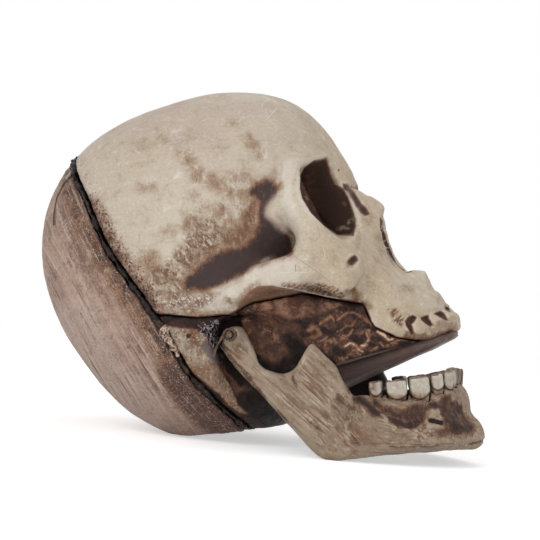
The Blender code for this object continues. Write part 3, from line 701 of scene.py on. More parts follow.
def patches(form, table, waver=1.5):
    """The strongest of some soft patches, each given with its soft edge and strength."""
    pixels = wavered(form, patch_lumps, waver)
    return form.facing * np.maximum.reduce([
        strength * (1 - ease(from_outline(pixels, outline), -soft / 2, soft / 2))
        for outline, soft, strength in table])


def draw_lines(form, table):
    """Keeps what the thin drawn lines need: side of, closeness to and tone of the nearest one."""
    best = np.full(len(form.points), np.inf)
    side = np.zeros_like(best)
    tone = np.zeros_like(best)
    for line, shade in table:
        for start, end in zip(np.array(line, float), np.array(line[1:], float)):
            way = end - start
            share = np.clip((form.pixels - start) @ way / (way @ way), 0, 1)
            gap = form.pixels - start - share[:, None] * way
            far = np.hypot(gap[:, 0], gap[:, 1])
            turn = np.sign(way[0] * gap[:, 1] - way[1] * gap[:, 0])
            nearer = far < best
            best = np.where(nearer, far, best)
            side = np.where(nearer, turn * far, side)
            tone = np.where(nearer, shade, tone)
    form.keep("side", 0.5 + side / (2 * line_reach))
    form.keep("close", (1 - best / line_reach) * form.facing)
    form.keep("tone", tone)


def inward(form):
    """1 where the surface faces the skull's middle plane: cavity walls and inner sides."""
    return ease(-form.normals[:, 1] * np.sign(form.points[:, 1]), *inward_edge)


def refine(obj, outline):
    """Splits the outer faces seen inside a pixel outline, for finer work there."""
    form = Form(obj)
    chosen = (from_outline(form.pixels, outline) < 0) & (inward(form) < 0.5)
    bm = bmesh.new()
    bm.from_mesh(obj.data)
    bm.verts.ensure_lookup_table()
    edges = [edge for edge in bm.edges if all(chosen[vert.index] for vert in edge.verts)]
    bmesh.ops.subdivide_edges(bm, edges=edges, cuts=1, use_grid_fill=True,
                               smooth=split_smoothness)
    bm.to_mesh(obj.data)
    bm.free()


def nudge(form, moves):
    """Moves the form in its middle plane, and narrows it, around some pixel places."""
    _, right, up, _ = camera_axes()
    plane = np.array([[right.x, right.z], [-up.x, -up.z]]) * focal_pixels / view_distance
    pixels = form.pixels
    for place, reach, move, narrowing in moves:
        weights = np.exp(-(from_line(pixels, (place,)) / reach) ** 2)
        ahead, upward = np.linalg.solve(plane, move)
        form.points[:, 0] += weights * ahead
        form.points[:, 2] += weights * upward
        form.points[:, 1] *= 1 - weights * narrowing
    form.write()


def work_lines(form, table):
    """Raises or sinks the form along some lines."""
    for line, reach, soft, height in table:
        form.push(line_mask(form, line, reach, soft), height)


def orbit_mask(form):
    """1 in the orbit, with a sharp edge on its outer side and a soft one on its inner side."""
    rim = from_outline(form.pixels, orbit_rim)
    inner_side = ease(form.pixels[:, 0] - 0.5 * form.pixels[:, 1], 226, 246)
    return 1 - ease(rim, -1.5 - 3 * inner_side, 0.8 + inner_side + 3 * (1 - form.facing))


def sculpt_face(form):
    """Works the profile, orbit's rim, tear slot, pits and the moulded upper teeth into the face."""
    nudge(form, profile_moves)
    rim = from_outline(form.pixels, orbit_rim)
    for (place, width, height), share in ((orbit_lip, 1), (orbit_groove, ease(rim, 1, -1))):
        form.push(np.exp(-((rim - place) / width) ** 2) * form.facing * share, height)
    form.push(outline_mask(form, tear_slot, 5), tear_depth)
    work_lines(form, face_grooves)
    form.push(outline_mask(form, scales, 10) * fractal(form, 0.004), 0.5)
    form.push(fractal(form, 0.014), 0.2)
    work_lines(form, [((place,), *crown_swell) for place in upper_crowns])
    for wedge in wedges:
        form.push(outline_mask(form, wedge, 3), wedge_depth)
    form.write()


def paint_face(form):
    """The face's paint masks: painted shade in the orbits, holes and tooth gaps, brown staining, scaly
    texture, and pale smears that are partly chalky paint and partly painted highlight.
    """
    far_side, far_facing = form.seen_from(1)
    nose = (1 - ease(from_line(far_side, nose_rim), 0.5, 2)) * far_facing * (1 - form.facing)
    front = ease(form.pixels[:, 0], 362, 368)
    # Painted shade: dark in the orbit, and on the inner walls behind the front that face the middle
    # plane.
    deep = np.maximum(orbit_mask(form), inward(form) * (1 - front))
    # Painted shade in the cheek hole, brow pit, nose opening and notch, the front inner walls and the
    # gaps between the upper teeth.
    dark = np.maximum.reduce([
        line_mask(form, cheek_hole, 0, 6), line_mask(form, brow_pit, 0.2, 1.2), nose,
        line_mask(form, nose_notch, 0.3, 1.5), inward(form) * front * 0.15]
        + [outline_mask(form, wedge, 4) for wedge in wedges])
    temple_wall = (1 - ease(from_outline(form.pixels, temple_band), 0, 4)) * (
        ease(form.pixels[:, 0], 270, 280))
    bead = near(form, tree_of("seam_bead"), 0.8, 10)
    form.keep("orbit", deep)
    form.keep("dark", dark)
    form.keep("temple", np.maximum.reduce([
        patches(form, ((temple_upper, 11, 1.05), (temple_band, 17, 1.1)), 3.0),
        0.9 * line_mask(form, temple_neck, 1, 5), 0.9 * outline_mask(form, tear_slot, 4),
        temple_wall]))
    form.keep("under", outline_mask(form, under_arch, 6))
    form.keep("glint", soft_lines(form, orbit_glints))
    form.keep("stain", np.maximum.reduce([
        soft_lines(form, vault_stains), soft_lines(form, temple_stains), soft_lines(form, arch_stains),
        soft_lines(form, cheek_stains),
        patches(form, ((temple_fringe, 18, 1.2), (scales, 16, 0.85)), 4.0)]))
    form.keep("scales", outline_mask(form, scales, 16))
    form.keep("chips", line_mask(form, arch_chips, 3, 6))
    form.keep("hatching", np.maximum(outline_mask(form, hatching, 4),
                                     outline_mask(form, jaw_hatching, 4)))
    form.keep("seam", bead * (0.35 + 0.65 * ease(form.pixels[:, 1], 185, 215)))
    form.keep("joint", near(form, tree_of("base_shell"), 0.2, 1.6))
    # Pale smears: partly chalky paint, partly painted highlight.
    form.keep("pale", soft_lines(form, pale_smears_and_highlights))
    form.keep("warm", ease(form.pixels[:, 0], 270, 350)
              * (1 - 0.6 * line_mask(form, upper_jaw_light, 8, 14)))
    form.keep("low", ease(form.pixels[:, 1], 110, 215) * ease(form.pixels[:, 0], 50, 190))
    form.keep("hollow", 0.5 + hollows(form, hollow_passes))
    draw_lines(form, face_lines)


def work_face(form):
    sculpt_face(form)
    paint_face(form)


def work_palate(form):
    """The dark underside of the upper jaw: fuller at its front, as in the photograph."""
    nudge(form, palate_moves)
    front = ease(form.pixels[:, 0], *palate_front)
    form.push(palate_fullness + palate_front_fullness * front, 1)
    form.push(fractal(form, 0.010), 0.15)
    form.write()


def work_rear(form):
    """The rear shell: low lumps, a split near the top, and rough brown staining by the seam."""
    bead = tree_of("seam_bead")
    rough = near(form, bead, 1, 15) * (0.8 + 0.2 * fractal(form, 0.012))
    form.push(fractal(form, 0.012), 0.25)
    form.push(line_mask(form, rear_split, 0.4, 2), -0.8)
    form.push(rough * fractal(form, 0.004), 0.9)
    form.write()
    form.keep("seam", rough)
    form.keep("purple", patches(form, ((rear_purple, 22, 1.2),), 4.0))
    # Darker: painted shade on the lower rear by the jaw, darker along the bottom edge, and a dark stain
    # by the seam near the top.
    form.keep("dark", np.maximum.reduce([
        1.3 * line_mask(form, rear_shade, 5, 22), 0.35 * line_mask(form, rear_low, 2, 10),
        1.3 * line_mask(form, rear_top, 4, 12)]))
    # Painted bounce light on the lower rear.
    form.keep("light", line_mask(form, rear_painted_bounce, 8, 26))
    form.keep("seen", ease(form.facing, 0.05, 0.6))
    form.keep("across", from_line(form.pixels, seam_line) / grain_span)
    form.keep("along", form.pixels[:, 1] / photo_side)
    form.keep("inside", inward(form))
    form.keep("hollow", 0.5 + hollows(form, hollow_passes))
    draw_lines(form, rear_cracks)


def work_base(form):
    """The base shell: crumpled relief, a cream patch behind the jaw and a vein-like network."""
    cream = outline_mask(form, base_cream, 7)
    veins = outline_mask(form, base_veins, 10)
    lumps = fractal(form, 0.006)
    form.push(lumps * (0.2 + 0.8 * veins + 0.7 * cream) * form.facing, 0.7)
    form.push(line_mask(form, base_pit, 1, 2.5), -1.2)
    nudge(form, base_moves)
    form.keep("cream", cream)
    form.keep("lower", ease(form.pixels[:, 1], 345, 375))
    form.keep("veins", veins)
    form.keep("strand", soft_lines(form, base_strands, 2.2))
    form.keep("gap", soft_lines(form, base_gaps, 2.0))
    form.keep("keel", outline_mask(form, base_keel, 3))
    # Reddish mottled paint under the cheek, with painted orange highlights behind the ramus.
    form.keep("glow", np.maximum(outline_mask(form, base_glow, 14), soft_lines(form, base_orange_highlights)))
    # Painted orange highlights.
    form.keep("painted_highlight", soft_lines(form, base_painted_highlights))
    form.keep("under", outline_mask(form, base_under, 8))
    form.keep("smear", line_mask(form, base_smear, 3.5, 4))
    # Painted shadow behind and under the jaw, at the hinge and in the pit.
    form.keep("painted_shadow", np.maximum.reduce([
        soft_lines(form, base_painted_shadows), line_mask(form, base_pit, 1.2, 1.5)]))
    form.keep("joint", near(form, tree_of("seam_bead"), 0.2, 1.6))
    form.keep("inside", inward(form))
    form.keep("hollow", 0.5 + hollows(form, hollow_passes))


def work_jaw(form):
    """The jaw: hole and crease of the chin, rough dark patches, and outlines round the teeth."""
    teeth = tree_of(*[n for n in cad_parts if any(kind in n for kind in tooth_kinds)])
    front = outline_mask(form, jaw_front, 12)
    recess = outline_mask(form, jaw_recess, 8)
    band = outline_mask(form, jaw_band, 10)
    form.push(fractal(form, 0.010), 0.25)
    form.push(fractal(form, 0.005) * np.maximum(front, band), 1.0)
    form.push(np.maximum(front, band), -0.5)
    work_lines(form, jaw_grooves)
    form.write()
    dark = np.maximum.reduce([0.3 * recess, 0.3 * front, patches(form, jaw_patches),
                              soft_lines(form, jaw_darks, 1.5)])
    dark *= 1 - 0.9 * line_mask(form, jaw_lip, 1.2, 3.5)
    dark *= 1 - soft_lines(form, jaw_islands, 0.5)
    form.keep("dark", dark)
    # The shallow hole painted very dark: painted shade.
    form.keep("hole", line_mask(form, jaw_hole, 0.8, 2.8))
    form.keep("stain", soft_lines(form, jaw_stains))
    form.keep("gum", near(form, teeth, 0.25, 0.8))
    form.keep("neck", near(form, teeth, 0.5, 3.5))
    # Pale smears: partly chalky paint, partly painted highlight.
    form.keep("pale", soft_lines(form, jaw_smears_and_highlights))
    form.keep("border", outline_mask(form, jaw_borders, 8))
    form.keep("level", ease(form.pixels[:, 0], 345, 400))
    form.keep("inside", inward(form))
    form.keep("hollow", 0.5 + hollows(form, hollow_passes))
    draw_lines(form, jaw_lines)


def work_bead(form):
    """The bead of adhesive: ragged lumps, two wide lenses and a torn, lighter chunk."""
    chunk = line_mask(form, bead_chunk, 2.5, 4)
    lenses = np.maximum.reduce([line_mask(form, line, 2, 8) for line in bead_lenses])
    form.push(np.ones(len(form.points)), -0.45)
    form.push(fractal(form, 0.007), 1.2)
    form.push(fractal(form, 0.0018), 0.5)
    form.push(lenses, 0.5)
    form.push(chunk * (0.5 + fractal(form, 0.002)), 1.2)
    form.write()
    form.keep("chunk", chunk)
    form.keep("hollow", 0.5 + hollows(form, fine_hollow_passes))


def work_crown(form):
    """A tooth: a fuller middle, a rounded foot and a slightly dished, worn top."""
    x, y = form.pixels.T
    left, right, middle, lowest = min(
        tooth_feet, key=lambda foot: abs((foot[0] + foot[1]) / 2 - (x.min() + x.max()) / 2))
    across = (2 * x - left - right) / (right - left)
    foot = np.hypot(across, np.maximum(y - middle, 0) / (lowest - middle))
    low, high = form.points.min(0), form.points.max(0)
    rise = (form.points[:, 2] - low[2]) / (high[2] - low[2])
    side = 1 - np.abs(form.normals[:, 2])
    form.push(side * (1 - (2 * rise - 1.15) ** 2), 0.35)
    form.push(ease(form.normals[:, 2], 0.6, 0.95) * fractal(form, 0.003), 0.5)
    form.push(side * ease(foot, 0.96, 1.04), -0.3)
    form.push(fractal(form, 0.006), 0.2)
    form.write()
    form.keep("top", ease(form.normals[:, 2], 0.55, 0.9))
    form.keep("foot", foot / 2)
    form.keep("neck", 1 - ease(rise, 0.25, 0.6))
    form.keep("rear", ease(-across, -0.7, 0.5) * (left < tooth_feet[1][0]))
    form.keep("inside", inward(form) * (0.8 if right < tooth_feet[3][1] else 0.3))
    form.keep("hollow", 0.5 + 2 * hollows(form, fine_hollow_passes))


def tube(bm, path, radius, sides):
    """A closed round tube along a path, its ends drawn in to points."""
    rings = []
    for index, place in enumerate(path):
        ahead = path[min(index + 1, len(path) - 1)] - path[max(index - 1, 0)]
        across = ahead.orthogonal().normalized() if not rings else across
        across = (across - ahead * across.dot(ahead) / ahead.length_squared).normalized()
        other = ahead.cross(across).normalized()
        slim = 0.5 if index in (0, len(path) - 1) else 1.0
        rings.append([bm.verts.new(place + radius * slim * (
            across * math.cos(math.tau * k / sides) + other * math.sin(math.tau * k / sides)))
            for k in range(sides)])
    for ring, following in zip(rings, rings[1:]):
        for k in range(sides):
            bm.faces.new((ring[k], ring[(k + 1) % sides], following[(k + 1) % sides], following[k]))
    bm.faces.new(list(reversed(rings[0])))
    bm.faces.new(rings[-1])


def smooth_path(places, steps):
    """A smooth path through some places, with a number of steps between each two."""
    places = [places[0], *places, places[-1]]
    path = []
    for before, start, end, after in zip(places, places[1:], places[2:], places[3:]):
        for step in range(steps):
            t = step / steps
            path.append(0.5 * (2 * start + (end - before) * t
                               + (2 * before - 5 * start + 4 * end - after) * t * t
                               + (3 * start - before - 3 * end + after) * t ** 3))
    return path + [places[-1]]


def tie_path(side):
    """The centre line of the CAD tie: a coil round the pin, then its hanging tail."""
    path = []
    for step in range(int(coil_turns * coil_points) + 1):
        turns = step / coil_points
        angle = math.tau * (turns - coil_turns % 1 + 0.5)
        path.append(hinge_place + Vector((coil_radius * math.cos(angle),
                                          side * (coil_start + turns * coil_pitch),
                                          coil_radius * math.sin(angle))))
    return path + [Vector((place.x, side * place.y, place.z)) for place in tie_tail]


def strand(path, phase):
    """One of two strands twisted along a path."""
    places = []
    for index, place in enumerate(path):
        ahead = (path[min(index + 1, len(path) - 1)] - path[max(index - 1, 0)]).normalized()
        across = ahead.orthogonal().normalized()
        turn = Matrix.Rotation(math.tau * strand_twists * index / len(path) + phase, 3, ahead)
        places.append(place + strand_offset * (turn @ across))
    return places


def on_surface(tree, pixel, side, lift):
    """The place that a pixel shows on the surfaces in a tree, lifted towards the camera."""
    place, right, up, forward = camera_axes()
    x, y = ((pixel[0] - photo_side / 2) / focal_pixels, (photo_side / 2 - pixel[1]) / focal_pixels)
    ray = (forward + x * right + y * up).normalized()
    hit = tree.ray_cast(place, ray)[0] - lift * ray
    return Vector((hit.x, side * -hit.y, hit.z))


def add_ties():
    """The hinge ties: two twisted strands on the CAD tie's path, and a tangle of loose ends."""
    paint = thread_paint()
    tree = tree_of("base_shell", "face_shell", "rear_shell", "mandible", "seam_bead")
    for name, side in (("right", -1), ("left", 1)):
        rng = random.Random(filament_seed)
        bm = bmesh.new()
        path = smooth_path(tie_path(side), 2)
        for phase in (0, math.pi):
            tube(bm, strand(path, phase), strand_radius, strand_sides)
        wound = len(bm.verts)
        for pixels in filaments:
            lift = rng.uniform(*filament_lift)
            places = [on_surface(tree, pixel, side, lift + rng.uniform(*filament_waver))
                      for pixel in pixels]
            tube(bm, smooth_path(places, filament_steps), filament_radius, filament_sides)
        pixel, radius = knob
        bmesh.ops.create_icosphere(bm, subdivisions=2, radius=radius, matrix=Matrix.Translation(
            on_surface(tree, pixel, side, radius / 2)))
        mesh = bpy.data.meshes.new(f"tie_skin_{name}")
        bm.to_mesh(mesh)
        bm.free()
        mesh.shade_smooth()
        tie = new_object(f"tie_skin_{name}", mesh)
        loose = np.arange(len(mesh.vertices)) >= wound
        Form(tie).keep("loose", loose)
        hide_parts(f"hinge_tie_{name}")
        dress(tie, "skull", paint)


class Paint:
    """A material under construction: its nodes, its colour so far, and ways to add to both.

    A value may be a number, a node's output, or the name of a mask that the form keeps.
    """

    def __init__(self, name, gloss=matt_gloss):
        self.material = bpy.data.materials.new(name)
        self.material.use_nodes = True
        self.tree = self.material.node_tree
        self.shader = self.tree.nodes["Principled BSDF"]
        self.link(gloss, self.shader.inputs["Specular IOR Level"])
        self.coords = self.add("TexCoord", {}, "Object")
        self.colour = None

    def link(self, value, socket):
        """Joins a value to a socket."""
        if isinstance(value, str):
            value = self.add("Attribute", {}, "Fac", attribute_name=value)
        if isinstance(value, bpy.types.NodeSocket):
            self.tree.links.new(value, socket)
        else:
            socket.default_value = value

    def add(self, kind, inputs, output, **settings):
        """A new node's output, with the node's settings made and its inputs joined."""
        node = self.tree.nodes.new("ShaderNode" + kind)
        for name, setting in settings.items():
            setattr(node, name, setting)
        for name, value in inputs.items():
            self.link(value, node.inputs[name])
        return node.outputs[output]

    def noise(self, size, detail=3, rough=0.55, coords=None, warp=0):
        """Smooth noise around 0.5, whose lumps are about size metres across."""
        return self.add("TexNoise", {"Vector": coords or self.coords, "Scale": 1 / size,
                                     "Detail": detail, "Roughness": rough, "Distortion": warp}, "Fac")

    def wide(self, noise):
        """Noise around 0.5 brought to fill the range from 0 to 1."""
        low, high = noise_range
        return self.add("MapRange", {"Value": noise, "From Min": low, "From Max": high}, "Result")

    def drawn_out(self, ratio, turn):
        """Coordinates drawn out by a ratio, in a direction that slopes down to the front by turn."""
        return self.add("Mapping", {"Vector": self.coords, "Rotation": (0, turn, 0),
                                    "Scale": (ratio, 1, 1)}, "Vector", vector_type="TEXTURE")

    def streaks(self, size, length, turn):
        """Brush streaks of a width and a length in metres."""
        return self.noise(size, 5, 0.6, self.drawn_out(length / size, turn), 0.25)

    def grain(self, size, length):
        """Streaks that run along the seam, by the kept places across and along it, in pixels."""
        place = self.add("CombineXYZ", {"X": "across", "Y": "along"}, "Vector")
        scale = (grain_span / size, photo_side / length, 1)
        return self.noise(1, 5, 0.6, self.add("Mapping", {"Vector": place, "Scale": scale}, "Vector"))

    def sum(self, a, b, share=1.0):
        """a plus share times b."""
        return self.add("Math", {0: b, 1: share, 2: a}, 0, operation="MULTIPLY_ADD")

    def times(self, a, b):
        return self.add("Math", {0: a, 1: b}, 0, operation="MULTIPLY")

    def step(self, value, low, high, to=1.0):
        """A smooth rise from 0 at low to a share at high."""
        return self.add("MapRange", {"Value": value, "From Min": low, "From Max": high, "To Max": to},
                        "Result", interpolation_type="SMOOTHSTEP")

    def mix(self, share, a, b):
        """Colour a where share is 0, and b where it is 1."""
        a, b = ((*colour, 1) if isinstance(colour, tuple) else colour for colour in (a, b))
        return self.add("Mix", {"Factor": share, "A": a, "B": b}, "Result", data_type="RGBA")

    def layered(self, colour, *layers):
        """A colour with layers over it: each a tone and the share, rise and mask that lay takes."""
        for tone, value, *rise in layers:
            share = self.step(value, *rise) if rise else value
            colour = self.mix(share, colour, tone)
        return colour

    def lay(self, tone, value, *rise, within=None):
        """Lays a tone on by a value, or as the value rises from low to high up to a share."""
        share = self.step(value, *rise) if rise else value
        if within is not None:
            share = self.times(within, share)
        self.colour = self.mix(share, self.colour, tone)

    def soil_and_shade(self, mask, noise, tones, grit=1.2, low=0.12, high=1.1):
        """Lays tones on one after another as the mask, broken by noise, rises; used for staining and
        for painted shade.
        """
        value = self.times(mask, self.sum(1 - grit / 2, noise, grit))
        width = (high - low) / len(tones)
        for index, (tone, share) in enumerate(tones):
            start = low + index * width
            self.lay(tone, value, start, start + tone_overlap * width, share)

    def draw(self, width, dark, share=0.8):
        """Draws the thin lines, width pixels wide with a slight waver, dark or pale by their tone."""
        waver = self.sum("side", self.sum(-0.5, self.noise(waver_size)), waver_share)
        line = self.add("Math", {0: waver, 1: 0.5, 2: width / (4 * line_reach)}, 0,
                        operation="COMPARE")
        line = self.times(line, self.step("close", 0.55, 0.8))
        self.lay(self.mix("tone", dark, cream_pale), self.times(line, share))

    def bump(self, height, strength, distance):
        """Roughens the surface by a height, over what roughens it already."""
        normal = self.shader.inputs["Normal"]
        inputs = {"Height": height, "Strength": strength, "Distance": distance}
        if normal.is_linked:
            inputs["Normal"] = normal.links[0].from_socket
        self.link(self.add("Bump", inputs, "Normal"), normal)

    def finish(self, roughness):
        self.link(self.colour, self.shader.inputs["Base Color"])
        self.link(roughness, self.shader.inputs["Roughness"])
        return self.material


# Paint colours, in linear light.
cream = (0.56, 0.475, 0.375)
cream_low = (0.60, 0.53, 0.425)
cream_warm = (0.52, 0.415, 0.295)
cream_pale = (0.78, 0.73, 0.66)
cream_pink = (0.50, 0.405, 0.335)
cream_grey = (0.52, 0.43, 0.34)
chalk = (0.72, 0.69, 0.67)
faint_brown = (0.36, 0.255, 0.175)
brown_light = (0.27, 0.155, 0.095)
brown_wash = (0.175, 0.085, 0.050)
brown_glow = (0.16, 0.074, 0.050)
brown_deep = (0.105, 0.052, 0.040)
ember = (0.25, 0.115, 0.065)
rust_light = (0.42, 0.25, 0.155)
rust_pale = (0.66, 0.50, 0.37)
# Very dark: the glue's and the joints' own colour, and also painted shade in hollows and painted shadow
# behind the jaw.
very_dark_and_shade = (0.010, 0.007, 0.006)
orbit_dark = (0.050, 0.030, 0.024)
copper = (0.44, 0.235, 0.155)
pitch = (0.022, 0.014, 0.012)
plum_dark = (0.042, 0.027, 0.025)
plum_brown = (0.088, 0.045, 0.035)
olive = (0.33, 0.25, 0.165)
grey_smear = (0.16, 0.13, 0.13)
pink_brown = (0.38, 0.255, 0.20)
pink_pale = (0.47, 0.34, 0.27)
pink_dark = (0.135, 0.078, 0.06)
pink_light = (0.60, 0.48, 0.42)
purple_brown = (0.17, 0.10, 0.085)
jaw_tan = (0.29, 0.205, 0.140)
jaw_pale = (0.41, 0.325, 0.235)
jaw_grey = (0.215, 0.148, 0.102)
jaw_umber = (0.190, 0.098, 0.060)
jaw_brown = (0.105, 0.054, 0.036)
# Pale for the jaw's smears: partly chalky paint, partly painted highlight.
jaw_chalk_and_highlight = (0.56, 0.50, 0.43)
tooth_cream = (0.47, 0.415, 0.33)
tooth_pale = (0.62, 0.585, 0.52)
palate_grey = (0.140, 0.100, 0.095)
palate_brown = (0.165, 0.102, 0.080)
steel_rust = (0.17, 0.115, 0.08)
steel_brown = (0.075, 0.05, 0.04)
thread_pink = (0.60, 0.53, 0.52)
thread_grey = (0.19, 0.18, 0.21)

# Directions of the brush streaks: how far each slopes down towards the front.
ramus_slope = math.radians(36)
border_slope = math.radians(-3)
palate_slope = math.radians(-22)
hatch_slope = math.radians(-55)
vault_slope = math.radians(-12)
stroke_slope = math.radians(80)
scale_slope = math.radians(40)


def bone_ground(paint, ragged, fine):
    """The face's clean paint: pinkish on top, cream lower down, warmer at the front."""
    paint.colour = paint.mix("low", cream_pink, cream_low)
    paint.lay(cream, paint.noise(0.022, 5, 0.6), 0.38, 0.62)
    paint.lay(cream_warm, "warm", 0, 1, 0.9)
    paint.lay(faint_brown, ragged, 0.50, 0.72, 0.55)
    paint.lay(faint_brown, paint.streaks(0.0020, 0.012, vault_slope), 0.54, 0.72, 0.3)
    paint.lay(cream_pale, ragged, 0.46, 0.30, 0.5)
    paint.lay(faint_brown, fine, 0.54, 0.70, 0.3)
    paint.lay(cream_pale, fine, 0.46, 0.30, 0.35)


def bone_marks(paint, ragged, fine):
    """The finer marks on the bone: scaly texture, hatching, chips, and specks by the seam."""
    curls = paint.noise(0.0016, 3, 0.5, paint.drawn_out(2.2, scale_slope), 1.2)
    scaled = paint.times("scales", paint.step(ragged, 0.40, 0.56))
    paint.lay(brown_wash, curls, 0.47, 0.60, 0.85, within=scaled)
    paint.lay(cream_pale, curls, 0.42, 0.32, 0.7, within=scaled)
    paint.bump(paint.times(scaled, curls), 0.8, -0.0010)
    specks = paint.times("seam", paint.step(fine, 0.53, 0.62))
    paint.lay(pitch, specks, 0.05, 0.5, 0.85)
    hatch = paint.streaks(0.0010, 0.007, hatch_slope)
    paint.lay(brown_wash, hatch, 0.47, 0.54, within="hatching")
    paint.lay(chalk, fine, 0.54, 0.60, within="chips")
    nicks = paint.times(paint.step(fine, 0.70, 0.74), paint.step(ragged, 0.52, 0.60))
    paint.lay(plum_brown, paint.times(nicks, 0.7))


def bone_hollows(paint, mottle, broad, ragged):
    """The dark parts of the face: temples, orbits, nose, holes and the underside of the arch."""
    under = paint.layered(
        brown_wash, (brown_light, mottle, 0.2, 0.8), (faint_brown, ragged, 0.55, 0.68, 0.7))
    paint.lay(under, "under", 0.2, 0.7)
    temple_tones = ((brown_light, 0.8), (brown_wash, 0.9), (plum_brown, 1), (plum_dark, 0.95))
    paint.soil_and_shade("temple", mottle, temple_tones, 1.1, 0.05, 0.8)
    core = paint.times(paint.step("temple", 0.6, 1), paint.step(ragged, 0.50, 0.66))
    paint.lay(plum_brown, paint.times(core, 0.5))
    # Pale smears: partly chalky paint, partly painted highlight.
    pale = paint.times("pale", paint.sum(0.35, mottle, 0.9))
    paint.lay(cream_pale, pale, 0, 1.1, 0.6)
    # Painted shade in holes, pits, the nose opening and the gaps between the upper teeth.
    paint.soil_and_shade("dark", broad, ((brown_wash, 1), (plum_brown, 1), (plum_dark, 0.8)), 0.9, 0.1, 1.0)
    # Painted shade in the orbit and on the inner walls, dark brown to very dark.
    paint.soil_and_shade("orbit", mottle, ((brown_wash, 1), (plum_brown, 1), (orbit_dark, 1)), 0.5, 0.05, 0.8)
    orbit = paint.step("orbit", 0.5, 0.9)
    lit_side = paint.times(orbit, paint.step("warm", 0.9, 0.2))
    paint.lay(brown_glow, ragged, 0.46, 0.64, within=lit_side)
    paint.lay(plum_dark, broad, 0.55, 1.0, 0.6, within=orbit)
    glint = paint.times("glint", paint.step(mottle, 0.2, 0.6))
    paint.lay(faint_brown, paint.times(glint, 0.7))


def bone_paint():
    paint = Paint("bone_paint")
    ragged = paint.noise(0.0055, 9, 0.72, warp=0.4)
    fine = paint.noise(0.0011, 4, 0.7)
    strokes = paint.streaks(0.0010, 0.004, stroke_slope)
    mottle = paint.wide(paint.sum(paint.times(ragged, 0.5), paint.sum(fine, strokes), 0.25))
    broad = paint.wide(ragged)
    gloss = paint.sum(matt_gloss, paint.step("orbit", 0.3, 0.7), -matt_gloss)
    paint.link(gloss, paint.shader.inputs["Specular IOR Level"])
    bone_ground(paint, ragged, fine)
    # Darker brown in hollows and paler on ridges: partly the wash settled in and the paint rubbed off,
    # partly painted shade and painted highlight.
    paint.lay(brown_wash, "hollow", 0.58, 0.9, 0.7)
    paint.lay(cream_pale, "hollow", 0.46, 0.25, 0.3)
    stain_tones = ((faint_brown, 0.75), (brown_light, 0.75), (brown_wash, 0.9))
    paint.soil_and_shade("stain", mottle, stain_tones, 1.8, 0.05, 1.3)
    paint.soil_and_shade("seam", mottle, ((brown_light, 0.7), (brown_wash, 0.8), (plum_dark, 0.85)), 1.5)
    bone_marks(paint, ragged, fine)
    bone_hollows(paint, mottle, broad, ragged)
    paint.soil_and_shade("joint", broad, ((brown_wash, 0.9), (plum_brown, 0.9), (very_dark_and_shade, 1)), 0.8)
    paint.draw(0.8, brown_wash, 0.65)
    paint.bump(fine, 0.45, 0.0004)
    paint.bump(ragged, 0.45, 0.0008)
    return paint.finish(paint.sum(0.3, paint.step(ragged, 0, 1), 0.5))


def rear_strokes(paint, thin):
    """Brush strokes and cracks along the seam, in clusters on the sides."""
    clusters = paint.step(paint.noise(0.016, 5, 0.65), 0.36, 0.60)
    brushed = paint.times("seen", clusters)
    hair = paint.grain(1.2, 30)
    crack = paint.grain(2.5, 80)
    paint.lay(pink_dark, thin, 0.50, 0.66, 0.75, within=brushed)
    paint.lay(pink_dark, hair, 0.53, 0.66, 0.6, within=brushed)
    paint.lay(pink_light, thin, 0.47, 0.32, 0.75, within=brushed)
    paint.lay(plum_brown, crack, 0.62, 0.68, 0.8, within=brushed)


def rear_paint():
    paint = Paint("rear_paint")
    ragged = paint.noise(0.005, 9, 0.72)
    fine = paint.noise(0.0012, 4, 0.7)
    thin = paint.grain(2.2, 60)
    mottle = paint.wide(paint.sum(paint.times(ragged, 0.6), paint.sum(fine, thin, 0.4), 0.28))
    paint.colour = paint.layered(pink_brown, (pink_pale, paint.grain(9, 120), 0.35, 0.65))
    paint.lay(pink_dark, ragged, 0.50, 0.66, 0.65)
    purple = paint.times("purple", paint.step(mottle, 0.1, 0.7))
    paint.lay(purple_brown, purple, 0, 0.9, 0.8)
    # Darker in hollows: partly the wash settled there, partly painted shade.
    paint.lay(plum_brown, "hollow", 0.58, 0.9, 0.8)
    seam_tones = ((brown_light, 0.8), (brown_wash, 0.9), (plum_dark, 0.95))
    paint.soil_and_shade("seam", mottle, seam_tones, 1.6, 0.02, 0.85)
    # Darker: painted shade low on the rear by the jaw and along the bottom edge, and a stain by the
    # seam's top.
    paint.soil_and_shade("dark", mottle, ((brown_wash, 0.8), (plum_brown, 0.95)), 1.4, 0.05, 0.9)
    # Painted bounce light: paler on the lower rear.
    paint.lay(pink_light, "light", 0, 1, 0.4)
    rear_strokes(paint, thin)
    paint.lay(pink_dark, fine, 0.54, 0.66, 0.4)
    paint.lay(pink_light, fine, 0.46, 0.34, 0.4)
    specks = paint.times(paint.step("seam", 0.1, 0.5), paint.step(fine, 0.58, 0.66))
    paint.lay(rust_pale, paint.times(specks, 0.8))
    nicks = paint.times(paint.step(fine, 0.62, 0.68), paint.step(ragged, 0.50, 0.60))
    paint.lay(pitch, paint.times(nicks, 0.85))
    paint.lay(purple_brown, "inside")
    paint.draw(1.6, pitch)
    paint.bump(thin, 0.6, 0.0006)
    paint.bump(fine, 0.4, 0.0004)
    paint.bump(paint.times("seam", ragged), 0.9, 0.0015)
    return paint.finish(0.62)


